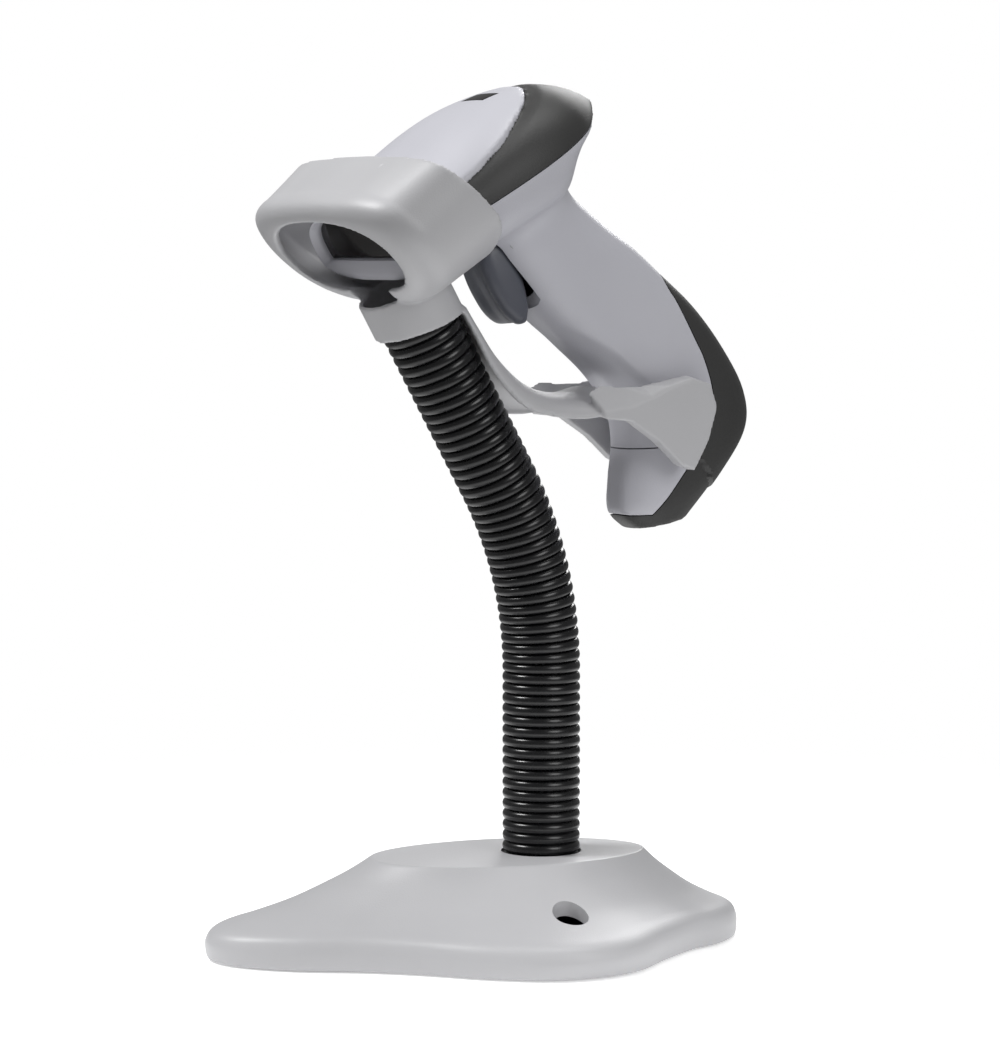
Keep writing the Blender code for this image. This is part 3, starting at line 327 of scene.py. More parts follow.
def loft(name, rings, place=Matrix(), closed=False):
    """Skin through rings of equal count, in metres: capped at the ends or closed."""
    bm = bmesh.new()
    rows = [[bm.verts.new(place @ Vector(point)) for point in ring] for ring in rings]
    pairs = list(zip(rows, rows[1:]))
    if closed:
        pairs.append((rows[-1], rows[0]))
    else:
        bm.faces.new(list(reversed(rows[0])))
        bm.faces.new(rows[-1])
    for near, far in pairs:
        for i in range(len(near)):
            j = (i + 1) % len(near)
            bm.faces.new((near[i], near[j], far[j], far[i]))
    return from_bmesh(name, bm)


def prism(name, outline, low, high, across=True, far_outline=None):
    """An outline in mm pushed along x (s, t outline) or along t (x, s outline).

    With a far outline the prism tapers from the one to the other.
    """
    rings = []
    for points, level in ((outline, low), (far_outline or outline, high)):
        if across:
            rings.append([(level * MM, a * MM, b * MM) for a, b in points])
        else:
            rings.append([(a * MM, b * MM, level * MM) for a, b in points])
    return loft(name, rings, CRADLE)


def block(name, low, high):
    """A box in the cradle frame, its corners in mm."""
    outline = [(low[1], low[2]), (high[1], low[2]), (high[1], high[2]), (low[1], high[2])]
    return prism(name, outline, low[0], high[0])


def rod(name, radius, low, high, place, segments=96):
    """A cylinder along the Z of a place; sizes in mm."""
    bm = bmesh.new()
    matrix = place @ Matrix.Translation((0, 0, (low + high) / 2 * MM))
    bmesh.ops.create_cone(bm, cap_ends=True, segments=segments, radius1=radius * MM,
                          radius2=radius * MM, depth=(high - low) * MM, matrix=matrix)
    return from_bmesh(name, bm)


def modified(obj, kind, **settings):
    """Replaces the object's mesh by what one modifier makes of it."""
    step = obj.modifiers.new("step", kind)
    for name, value in settings.items():
        setattr(step, name, value)
    evaluated = obj.evaluated_get(bpy.context.evaluated_depsgraph_get())
    mesh = bpy.data.meshes.new_from_object(evaluated)
    obj.modifiers.clear()
    old, obj.data = obj.data, mesh
    bpy.data.meshes.remove(old)
    mesh.name = obj.name
    return obj


def join(obj, operation, *others):
    """One boolean after another; the other objects are used up."""
    for other in others:
        modified(obj, "BOOLEAN", operation=operation, object=other, solver="MANIFOLD")
        bpy.data.objects.remove(other)
    if not obj.data.polygons:
        raise RuntimeError(f"{obj.name}: nothing is left after {operation}")
    return obj


def copy_of(obj, name):
    return new_object(name, obj.data.copy())


def rebuild(obj, cell):
    """Even cells over the whole surface, so that sharp joins turn into small fillets."""
    return modified(obj, "REMESH", mode="VOXEL", voxel_size=cell)


def points_of(obj):
    co = np.empty(len(obj.data.vertices) * 3)
    obj.data.vertices.foreach_get("co", co)
    return co.reshape(-1, 3)


def move_points(obj, co):
    obj.data.vertices.foreach_set("co", co.ravel())
    obj.data.update()


def relax(obj, turns, weights=None):
    """Moves points towards their neighbours' mean.

    Without weights every second step goes back a little, which keeps the volume; with
    weights from 0 to 1 every step goes forwards by its point's share.
    """
    co = points_of(obj)
    edges = np.empty(len(obj.data.edges) * 2, int)
    obj.data.edges.foreach_get("vertices", edges)
    a, b = edges.reshape(-1, 2).T
    count = np.bincount(a, minlength=len(co)) + np.bincount(b, minlength=len(co))
    share = np.ones(len(co)) if weights is None else weights
    for turn in range(turns * 2):
        step = 0.5 if turn % 2 == 0 or weights is not None else -0.52
        total = np.stack([np.bincount(a, co[b, k], len(co)) + np.bincount(b, co[a, k], len(co))
                          for k in range(3)], axis=1)
        co = co + (total / count[:, None] - co) * (step * share)[:, None]
    move_points(obj, co)


def in_cradle(co):
    """World points as x, s, t in mm."""
    inverse = np.array(CRADLE.inverted())
    return (co @ inverse[:3, :3].T + inverse[:3, 3]) / MM


def from_cradle(local):
    matrix = np.array(CRADLE)
    return local * MM @ matrix[:3, :3].T + matrix[:3, 3]


def smoothstep(value, low, high):
    u = np.clip((value - low) / (high - low), 0, 1)
    return u * u * (3 - 2 * u)


def finish_piece(obj, material, body, slot, *nodes, sharp=35):
    """Smooth shading, finish, the body it rides on and the nodes it stands for."""
    obj.data.materials.clear()
    obj.data.materials.append(material)
    obj.data.shade_smooth()
    obj.data.set_sharp_from_angle(angle=math.radians(sharp))
    if body:
        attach(obj, body)
    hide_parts(*nodes)
    return obj


# ---- base
# Half outline from above: share of the length forwards, share of the half width.
BASE_OUTLINE = (
    (0.621, 0.0), (0.590, 0.21), (0.505, 0.385), (0.395, 0.51), (0.300, 0.66), (0.200, 0.86),
    (0.100, 0.985), (0.010, 0.99), (-0.070, 0.90), (-0.150, 0.68), (-0.228, 0.49),
    (-0.295, 0.38), (-0.350, 0.20), (-0.370, 0.0),
)
# Top surface: how far out (0 at the plateau's edge, 1 at the rim), and height in mm.
BASE_SWEEP = ((0.0, 25.9), (0.12, 22.7), (0.25, 19.8), (0.5, 14.9), (0.75, 11.3), (0.9, 9.5),
              (0.965, 8.0), (0.995, 5.8), (1.0, 3.9), (0.992, 1.6), (0.982, 0.6))
PLATEAU_BACK = 10.0
BASE_LIFT = 0.6
# Screw wells: places, boss wall and levels, floor, and radius of the screw's bore.
WELL_SPREAD = 40.0
WELL_FORWARD = 5.0
BOSS_WALL = 2
BOSS_LEVELS = (3.1, 9)
WELL_FLOOR = 5.6
SCREW_BORE = 2.25
BELOW, ABOVE = -10, 60
NECK_RECESS = 1.2
RECESS_ROOM = 0.4
NECK_WAY_LEDGE = 2.6
CREST_ROUND = 0.9


def base_ring(size, share, height, inset=0.0, steps=9):
    """A ring between the plateau's edge and the rim, in mm of the base's own frame."""
    half = [(across * size.width / 2, -along * size.length) for along, across in BASE_OUTLINE]
    rim = np.array(through(mirrored(half), steps, closed=True)) / MM
    centre = np.array((0, -PLATEAU_BACK))
    a, b = size.plateau_width / 2 / MM, size.plateau_length / 2 / MM
    out = rim - centre
    edge = out / np.hypot(out[:, 0] / a, out[:, 1] / b)[:, None]
    ring = edge + (out - edge) * share
    ring *= 1 - inset / np.linalg.norm(ring, axis=1)[:, None]
    return [((x + centre[0]) * MM, (y + centre[1]) * MM, height * MM) for x, y in ring]


class BuildBase(Operator):
    """Moulds the freeform base: plateau, concave sweep, rolled rim and screw wells"""
    bl_idname = "scanner_stand.base"
    bl_label = "Base"

    def execute(self, context):
        size = context.scene.scanner_base
        wall = size.wall / MM
        place = Matrix.Rotation(size.turn, 4, "Z")
        top = PLATEAU / MM
        sweep = through(BASE_SWEEP, 4)
        outer = [base_ring(size, 0, top, CREST_ROUND), base_ring(size, 0, top - 0.03, 0.4)]
        outer += [base_ring(size, share, height) for share, height in sweep]
        inner = [base_ring(size, share, max(height - wall, BASE_LIFT), wall * 1.3)
                 for share, height in sweep if height > 5]
        lowest = base_ring(size, 1, BASE_LIFT, wall * 1.3)
        shell = loft("base_moulding", outer + [lowest] + inner[::-1], place)
        # The bosses are joined on first, then all bores are cut.
        cutters = []
        for side in (-1, 1):
            well = place @ Matrix.Translation((side * WELL_SPREAD * MM, -WELL_FORWARD * MM, 0))
            radius = size.well / 2 / MM
            join(shell, "UNION", rod("boss", radius + BOSS_WALL, *BOSS_LEVELS, well))
            cutters.append(rod("well", radius, WELL_FLOOR, ABOVE, well))
            cutters.append(rod("bore", SCREW_BORE, BELOW, ABOVE, well, 48))
        neck = NECK_DIAMETER / 2 / MM
        cutters.append(rod("recess", neck + RECESS_ROOM, top - NECK_RECESS, ABOVE, Matrix()))
        cutters.append(rod("neck_way", neck - NECK_WAY_LEDGE, BELOW, ABOVE, Matrix()))
        join(shell, "DIFFERENCE", *cutters)
        plastic = moulded("base_plastic", size.colour)
        finish_piece(shell, plastic, "stand", "holder_plastic", "base_shell")
        return {"FINISHED"}


# ---- gooseneck sleeve
SLEEVE_SIDES = 96
SLEEVE_STEPS_PER_RING = 12
SLEEVE_WALL = 2.3
SLEEVE_INNER_RINGS = 8
# How far the last length runs on into the collar, in mm.
SLEEVE_END = 4
# Half of a stretch round the middle of each length, in pitches.
BLEND_HALF = 0.48


class NeckLine:
    """The neck's centre line: upright, then bent forwards, then straight."""

    def __init__(self, size):
        self.upright = size.upright
        self.radius = size.bend_radius
        self.bend = size.bend_radius * LEAN
        self.pitch = (JOINTS["neck_bend"]["pos_m"][2] - PLATEAU) * 2

    def at(self, distance):
        """The place at a distance along the line, its Z along the line."""
        lean = min(max(distance - self.upright, 0) / self.radius, LEAN)
        rest = max(distance - self.upright - self.bend, 0)
        y = -self.radius * (1 - math.cos(lean)) - rest * math.sin(lean)
        z = min(distance, self.upright) + self.radius * math.sin(lean) + rest * math.cos(lean)
        return Matrix.Translation((0, y, PLATEAU + z)) @ Matrix.Rotation(lean, 4, "X")


def sleeve_radius(distance, size, pitch):
    """Round rings with narrow grooves between them."""
    phase = (distance / pitch * size.rings) % 1.0
    bulge = math.sqrt(max(1 - (2 * phase - 1) ** 2, 0)) ** 0.8
    return NECK_DIAMETER / 2 - size.groove * (1 - bulge)


class BuildNeck(Operator):
    """Draws the corrugated sleeve in lengths, each one reaching over one joint of the neck"""
    bl_idname = "scanner_stand.neck"
    bl_label = "Neck sleeve"

    def execute(self, context):
        size = context.scene.scanner_neck
        line = NeckLine(size)
        plastic = glossy_sleeve("sleeve_gloss", size.colour)
        joints = len(NECK_JOINTS)
        ends = [number * line.pitch for number in range(joints + 1)]
        ends[0] = -NECK_RECESS * MM
        ends[-1] += SLEEVE_END * MM
        for number, joint in enumerate(NECK_JOINTS):
            piece = self.sleeve(f"sleeve_{number + 1}", line, size, ends[number],
                                ends[number + 1])
            nodes = [f"neck_sleeve_{number + 1}"]
            if number == joints - 1:
                nodes.append(f"neck_sleeve_{joints + 1}")
            finish_piece(piece, plastic, None, "sleeve_plastic", *nodes, sharp=80)
            middle = (number + 0.5) * line.pitch
            start = line.at(middle - line.pitch * BLEND_HALF).translation
            end = line.at(middle + line.pitch * BLEND_HALF).translation
            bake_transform(piece)
        return {"FINISHED"}

    def sleeve(self, name, line, size, start, end):
        steps = round((end - start) / line.pitch * size.rings * SLEEVE_STEPS_PER_RING)
        angles = np.arange(SLEEVE_SIDES) / SLEEVE_SIDES * math.tau
        circle = [Vector((math.cos(a), math.sin(a), 0)) for a in angles]
        rings = []
        for step in range(steps + 1):
            distance = start + (end - start) * step / steps
            place = line.at(distance)
            radius = sleeve_radius(distance, size, line.pitch)
            rings.append([place @ (point * radius) for point in circle])
        inside = NECK_DIAMETER / 2 - SLEEVE_WALL * MM
        for distance in np.linspace(end, start, SLEEVE_INNER_RINGS):
            place = line.at(distance)
            rings.append([place @ (point * inside) for point in circle])
        return loft(name, rings, closed=True)


# ---- forms of the scanner
# Head: s, top, widest level, bottom, half width in shares, squareness.
HEAD_STATIONS = (
    (-21.5, 29.5, 18, 8.5, 0.82, 2.9), (-6, 33.9, 17.5, 5, 0.95, 2.7),
    (4, 35.6, 17.5, 4, 0.99, 2.6), (14, 37, 17.5, 3.5, 1.0, 2.5),
    (24, 37.4, 17.5, 3, 0.985, 2.4), (34, 36.3, 17.5, 2.4, 0.92, 2.3),
    (43, 34.1, 17.8, 9.5, 0.79, 2.2), (50, 30.7, 18.6, 15, 0.6, 2.0),
    (56.5, 25.8, 19.2, 17.2, 0.35, 1.9), (61.5, 20.2, 19, 18, 0.12, 1.8),
)
# How much the underside is drawn in towards the tail.
TAIL_PINCH = 0.55
# Handle: front s, t, back s, t, share of the half width, squareness.
HANDLE_STATIONS = (
    (10, 8, 40, 10, 1.15, 2.3), (11, 0, 41.6, 0, 1.12, 2.4), (13.5, -12, 47, -12, 1.06, 2.4),
    (16, -24, 52.4, -22, 1.0, 2.5), (20.8, -37, 56.8, -33, 1.0, 2.5),
    (25.2, -49, 62, -47, 1.0, 2.6), (27, -61, 65, -62, 0.98, 2.7),
    (24, -70.5, 65.8, -77, 0.94, 2.7), (17.4, -79, 61.5, -87.5, 0.87, 2.6),
    (12.6, -87, 48, -94.4, 0.78, 2.5), (14.8, -94, 31, -99.8, 0.62, 2.4),
)
SECTION_POINTS = 96
STATION_STEPS = 6


def rounded_section(centre, up, rise, drop, half_width, squareness):
    """A squarish round section across x and an upright direction in s and t."""
    angle = np.arange(SECTION_POINTS) / SECTION_POINTS * math.tau
    c, s = np.cos(angle), np.sin(angle)
    x = np.sign(c) * np.abs(c) ** (2 / squareness) * half_width
    h = np.sign(s) * np.abs(s) ** (2 / squareness) * np.where(s > 0, rise, drop)
    return [(a * MM, (centre[0] + up[0] * b) * MM, (centre[1] + up[1] * b) * MM)
            for a, b in zip(x, h)]


def head_rings(size, inset=0.0, last=None):
    half = size.head_width / 2 / MM
    rings = []
    for s, top, middle, bottom, width, squareness in through(HEAD_STATIONS[:last], STATION_STEPS):
        drop = middle - bottom - inset
        ring = rounded_section((s, middle), (0, 1), top - middle - inset, drop,
                               max(width * half - inset, 1), squareness)
        pinch = TAIL_PINCH * float(smoothstep(s, 26, 44))
        rings.append([(x * (1 - pinch * max(middle - t / MM, 0) / drop), y, t)
                      for x, y, t in ring])
    return rings


def handle_rings(size, inset=0.0, last=None):
    rings = []
    for row in through(HANDLE_STATIONS[:last], STATION_STEPS):
        front, back = row[0:2], row[2:4]
        centre = (front + back) / 2
        reach = math.dist(front, back) / 2
        up = (back - centre) / reach
        width = row[4] * size.handle_width / 2 / MM - inset
        rings.append(rounded_section(centre, up, reach - inset, reach - inset, width, row[5]))
    return rings


# Side view of the finger scallop's upper edge, from the trigger to the holder.
SCALLOP_LINE = ((11, -20), (16.8, -22.7), (19.7, -29), (24.7, -36), (30, -45), (33.5, -54.5),
                (35, -62))
SCALLOP_DEPTH = 1.3
SCALLOP_SOFTNESS = 2.2
BLEND_REACH = 9.0


def depth_below(line, s, t):
    """How far points lie to the right of a line running backwards and down, in mm."""
    line = np.array(through(line, 6))
    best = np.full(len(s), 1e9)
    sign = np.ones(len(s))
    for a, b in zip(line, line[1:]):
        along = b - a
        u = np.clip(((s - a[0]) * along[0] + (t - a[1]) * along[1]) / (along @ along), 0, 1)
        ds, dt = s - a[0] - u * along[0], t - a[1] - u * along[1]
        distance = np.hypot(ds, dt)
        closer = distance < best
        sign[closer] = np.where(along[0] * dt - along[1] * ds < 0, 1.0, -1.0)[closer]
        best = np.minimum(best, distance)
    return best * sign


def tongue_edge():
    """The tongue's edge from the trim's start to its tip, as x and s."""
    w = TONGUE_WIDTH / 2
    return [(w, TRIM_START), *((share * w, s) for share, s in TONGUE_HALF)]


def scanner_form(size):
    """The whole outer form: head and handle grown together, with the finger scallop."""
    head = loft("scanner_form", head_rings(size), CRADLE)
    handle = loft("handle_form", handle_rings(size), CRADLE)
    trees = [BVHTree.FromObject(obj, bpy.context.evaluated_depsgraph_get())
             for obj in (head, handle)]
    join(head, "UNION", handle)
    rebuild(head, size.cell)
    far = [max(tree.find_nearest(Vector(co))[3] for tree in trees) for co in points_of(head)]
    weights = 1 - smoothstep(np.array(far) / MM, 0, BLEND_REACH)
    relax(head, 2)
    relax(head, 60, weights)
    local = in_cradle(points_of(head))
    x, s, t = local.T
    below = smoothstep(depth_below(SCALLOP_LINE, s, t), 0, SCALLOP_SOFTNESS)
    fade = smoothstep(np.abs(x), 2, 9) * smoothstep(-t, 17, 24)
    local[:, 0] -= np.sign(x) * SCALLOP_DEPTH * below * fade
    # The trim's border is sunk where it meets the tongue.
    edge = depth_below(tongue_edge(), np.abs(x), s)
    band = smoothstep(edge, -0.2, 0.2) * np.clip(1 - edge / BAND_WIDTH, 0, 1)
    band *= smoothstep(t, HEAD_SPLIT + 3, HEAD_SPLIT + 6) * (s > TRIM_START)
    local[:, 2] -= BAND_DEPTH * band
    move_points(head, from_cradle(local))
    return head


# ---- seams of the scanner
HEAD_SPLIT = 18.5
# Beyond the scanner on every side, and beyond its two sides only.
FAR = 200.0
ASIDE = 40
NOSE_FACE = -16.0
# The heel guard lies behind and below this line in the side view.
HEEL_LINE = (
    (66, -27), (55, -34), (53.6, -42), (53, -52), (52.8, -60), (50.6, -70), (45, -79),
    (39.4, -82.6), (32, -86), (25, -89.2), (19, -91.5), (14, -88.8), (5, -82),
)
BUTT_LINE = ((5, -69), (22, -71.5), (30, -75.5), (55, -94))
TONGUE_WIDTH = 58.0
# The tongue's edge: share of its half width, and s.
TONGUE_HALF = ((1, 6), (0.95, 16), (0.85, 23.5), (0.69, 31), (0.52, 36), (0.26, 41), (0, 42.5))
TRIM_START = -6.0
# Opening in the nose: shares of the nose's outline, and the top of the sloping lip.
NOSE_OPENING = np.array((0.9, 0.88))
NOSE_LIP = 14.6
# The bevelled border of the trim along the tongue, and how deep it is sunk there.
BAND_WIDTH = 4.2
BAND_DEPTH = 1.1
LAMP_LOW, LAMP_HIGH = (-5.5, 29.5), (5.5, 34.5)
LAMP_FLOOR = 18
CABLE_OUTLET = ((17.5, -FAR), (26, -FAR), (26, -86), (17.5, -83))
CABLE_OUTLET_SIDE = 4.5
TRIGGER_SLOT = (
    (-8, 3), (-8, -24.4), (10.8, -24.4), (13.6, -23.4), (16.3, -20.4), (17.7, -16.4), (18.5, -9),
    (18.7, 3),
)
TRIGGER_SLOT_SIDE = 8.6
# The main board from above: half its outline, with the rear corners cut off, and its levels.
BOARD_HALF = ((0, 12.2), (20, 12.2), (20, 27), (9, 41), (0, 41))
BOARD_LEVELS = (12.0, 13.6)


def shifted_line(points, distance):
    """A polyline moved to its left by a distance in mm."""
    out = []
    for i, point in enumerate(points):
        before = np.array(points[max(i - 1, 0)], float)
        after = np.array(points[min(i + 1, len(points) - 1)], float)
        along = (after - before) / np.linalg.norm(after - before)
        out.append((point[0] - along[1] * distance, point[1] + along[0] * distance))
    return out


def heel_region(name, distance):
    curve = through(HEEL_LINE[:10], 5)
    line = shifted_line([*curve, *HEEL_LINE[10:]], distance)
    return prism(name, [*line, (-FAR, -FAR), (FAR, -FAR), (FAR, line[0][1])], -ASIDE, ASIDE)


def butt_region(name, distance):
    line = shifted_line(BUTT_LINE, distance)
    outline = [*line, (line[-1][0], -FAR), (-FAR, -FAR), (-FAR, line[0][1])]
    return prism(name, outline, -ASIDE, ASIDE)


def tongue_region(name, room, low=HEAD_SPLIT):
    """The tongue on top, and all of the head in front of the trim."""
    w = TONGUE_WIDTH / 2
    side = [(share * w + room, s) for share, s in TONGUE_HALF[:-1]]
    curve = through([*side, (0, TONGUE_HALF[-1][1] + room)], 6)
    start = TRIM_START + room
    half = [(0, -FAR), (FAR, -FAR), (FAR, start), (w + room, start), *curve]
    return prism(name, mirrored(half), low, FAR, across=False)


class BuildHousings(Operator):
    """Cuts the scanner's form into its housings, trim, heel guard and butt"""
    bl_idname = "scanner_stand.housings"
    bl_label = "Housings"

    def execute(self, context):
        size = context.scene.scanner_body
        wall, gap = size.wall / MM, size.seam / MM
        form = scanner_form(size)
        body = moulded("body_plastic", size.body_colour, 0.38), "scanner", "body_plastic"
        dark = moulded("trim_plastic", size.trim_colour, 0.5, 0.0002), "scanner", "trim_plastic"
        smoke = smoked_window("indicator_smoke"), "scanner", "indicator_plastic"

        def room():
            rings = head_rings(size, wall, -1)
            mouth = [(x, s - 10 * MM, t) for x, s, t in rings[0]]
            return loft("head_room", [mouth, *rings], CRADLE)

        def handle_room():
            return loft("handle_room", handle_rings(size, wall, -1), CRADLE)

        def all_within(name, back=FAR, low=-FAR, high=FAR):
            return block(name, (-FAR, -FAR, low), (FAR, back, high))

        def nose():
            return all_within("nose", back=NOSE_FACE + gap)

        def lamp(name, room):
            return block(name, (LAMP_LOW[0] - room, LAMP_LOW[1] - room, LAMP_FLOOR),
                         (LAMP_HIGH[0] + room, LAMP_HIGH[1] + room, FAR))

        def shell(name, node, finish, kept, *cuts):
            """One housing: the form within what is kept, less every cut."""
            obj = copy_of(form, name)
            join(obj, "INTERSECT", *kept)
            join(obj, "DIFFERENCE", *cuts)
            finish_piece(obj, *finish, node)

        shell("main_shell", "main_housing", body, (), all_within("above", low=HEAD_SPLIT), room(),
              handle_room(), nose(), heel_region("heel", -gap / 2), butt_region("butt", gap / 2),
              prism("slot", TRIGGER_SLOT, -TRIGGER_SLOT_SIDE, TRIGGER_SLOT_SIDE))
        shell("heel_shell", "heel_guard", dark, [heel_region("heel", gap / 2)], handle_room(),
              prism("outlet", CABLE_OUTLET, -CABLE_OUTLET_SIDE, CABLE_OUTLET_SIDE))
        shell("butt_shell", "butt_cover", body, [butt_region("butt", -gap / 2)], handle_room(),
              heel_region("heel", -gap / 2))
        shell("tongue_shell", "top_cover", body, [tongue_region("tongue", 0)], room(),
              all_within("under", high=HEAD_SPLIT + gap), nose(), lamp("lamp_room", gap))
        shell("indicator_window", "indicator_lens", smoke, [lamp("lamp", 0)], room())
        shell("trim_shell", "head_trim", dark, (), room(),
              all_within("under", high=HEAD_SPLIT + gap), tongue_region("way", gap))

        bpy.data.objects.remove(form)
        self.bezel(size, body)
        low, high = BOARD_LEVELS
        board = prism("board_with_cut_corners", mirrored(BOARD_HALF), low, high, across=False)
        finish_piece(board, printed_board("main_board_green"), "scanner", "board", "main_board")
        return {"FINISHED"}

    def bezel(self, size, finish):
        """The nose ring: thin at the top and sides, with a broad sloping lip below."""
        front = np.array(head_rings(size)[0]) / MM
        outer = front[:, [0, 2]]
        middle = outer.mean(axis=0)
        opening = middle + (outer - middle) * NOSE_OPENING
        opening[:, 1] = np.maximum(opening[:, 1], NOSE_LIP)
        start = HEAD_STATIONS[0][0]

        def ring(share, s):
            points = outer + (opening - outer) * share
            return [(x * MM, s * MM, t * MM) for x, t in points]

        section = [ring(0, NOSE_FACE), ring(0.02, start + 1.2), ring(0.1, start + 0.4),
                   ring(0.25, start), ring(0.5, start + 0.2), ring(0.85, start + 1.3),
                   ring(0.97, start + 1.7), ring(1, start + 2.4), ring(1, NOSE_FACE),
                   ring(0.5, NOSE_FACE + 0.01)]
        obj = loft("nose_ring", section, CRADLE, closed=True)
        finish_piece(obj, *finish, "nose_bezel")
        pane = [ring(1.02, start + 3.6), ring(1.02, start + 3.0), ring(1.05, start + 2.7),
                ring(1.12, start + 2.6)]
        window = loft("window_pane", pane, CRADLE)
        finish_piece(window, smoked_window("window_smoke"), "scanner", "window_plastic",
                     "scan_window")


# ---- holder
# Hood seen along the barrel: x and t of half the outline; its back edge is the wider.
HOOD_BACK_OUTLINE = (
    (0, 41.8), (13, 41.5), (27, 40.7), (38, 37.8), (42, 31), (41.8, 24), (38.6, 16),
    (29, 8.6), (19.5, 3.6), (10, 1.2), (0, 0.5),
)
HOOD_FRONT_OUTLINE = (
    (0, 39.8), (13, 39.4), (26.5, 38.2), (36, 34.6), (40, 27.5), (39.8, 20), (35.8, 12.5),
    (28.5, 6.5), (19.5, 2.6), (10, 0.8), (0, 0.2),
)
MOUTH_OUTLINE = (
    (0, 33.6), (10, 33.1), (19, 31.3), (25.5, 28), (28.8, 23.4), (28.9, 18.6), (26.6, 14),
    (21.6, 10.6), (14.5, 8.8), (7, 8.2), (0, 8.0),
)
HOOD_FRONT = (-23.2, -0.286)
HOOD_BACK = (7.2, -0.43)
HOOD_BACK_LIMIT = 3.0
RIM_STEPS = 9
COLLAR_BACK = 16.0
COLLAR_TOP = 4.7
COLLAR_BOTTOM = -10.0
# The collar's lower edge rises to here at its front.
COLLAR_FRONT = -6.3
COLLAR_FLOOR = (-5.4, -3.6)
CUP_FRONT = 4.3
CUP_TOP = 11
SCREW_WAY = 1.8
# Room that the holder leaves round the neck and the handle, and round the head.
ROOM = 0.35
HEAD_ROOM = 0.3
# Share of the holder's faces that is kept.
HOLDER_DETAIL = 0.45
# Arm stations: crown on the mid-plane, rims at the sides, as s and t, and half width.
ARM_STATIONS = (
    (-2.8, -9, -6.4, -9, 8.4), (-2.5, -16, -6.8, -16.6, 9.6), (-1.7, -26, -8, -27.6, 12.4),
    (1.5, -36, -6.5, -38.5, 15.6), (7, -42.9, -1, -45.7, 16.8), (14.5, -48.1, 8, -52.2, 17.8),
    (23, -51, 17.3, -56.2, 18.4),
)
ARM_ARC = 24
ARM_WALL = 1.9
# Wing beside the handle: seam with the handle, then the crease further out.
WING_BACK = ((47, -72), (40, -78.6), (31.5, -83.5), (28.4, -80), (25, -70))
WING_SEAM = (
    (13.5, -46.8), (17.6, -46.9), (23.8, -51), (29.8, -54.5), (36.6, -57), (44.2, -59.8),
    (48.6, -65), *WING_BACK, (20, -60), (13, -54),
)
WING_CREASE = (
    (13, -53), (17, -54.6), (23, -57), (29.8, -58.2), (36.6, -58.8), (43.4, -60.4),
    (48.3, -65.2), *WING_BACK, (20, -60.5), (13, -55.4),
)
WING_CREASE_AT = 19.6


def on_plane(outline, plane, back=0.0, limit=FAR):
    """An outline's points on a leaning plane, no further back than a limit."""
    return [(x * MM, min(plane[0] + plane[1] * t + back, limit) * MM, t * MM)
            for x, t in outline]


def drawn_in(outline, inset):
    """A closed outline moved inwards along its own normals, in mm."""
    outline = np.array(outline)
    along = np.roll(outline, -1, axis=0) - np.roll(outline, 1, axis=0)
    along /= np.linalg.norm(along, axis=1)[:, None]
    return outline + np.stack([along[:, 1], -along[:, 0]], axis=1) * inset


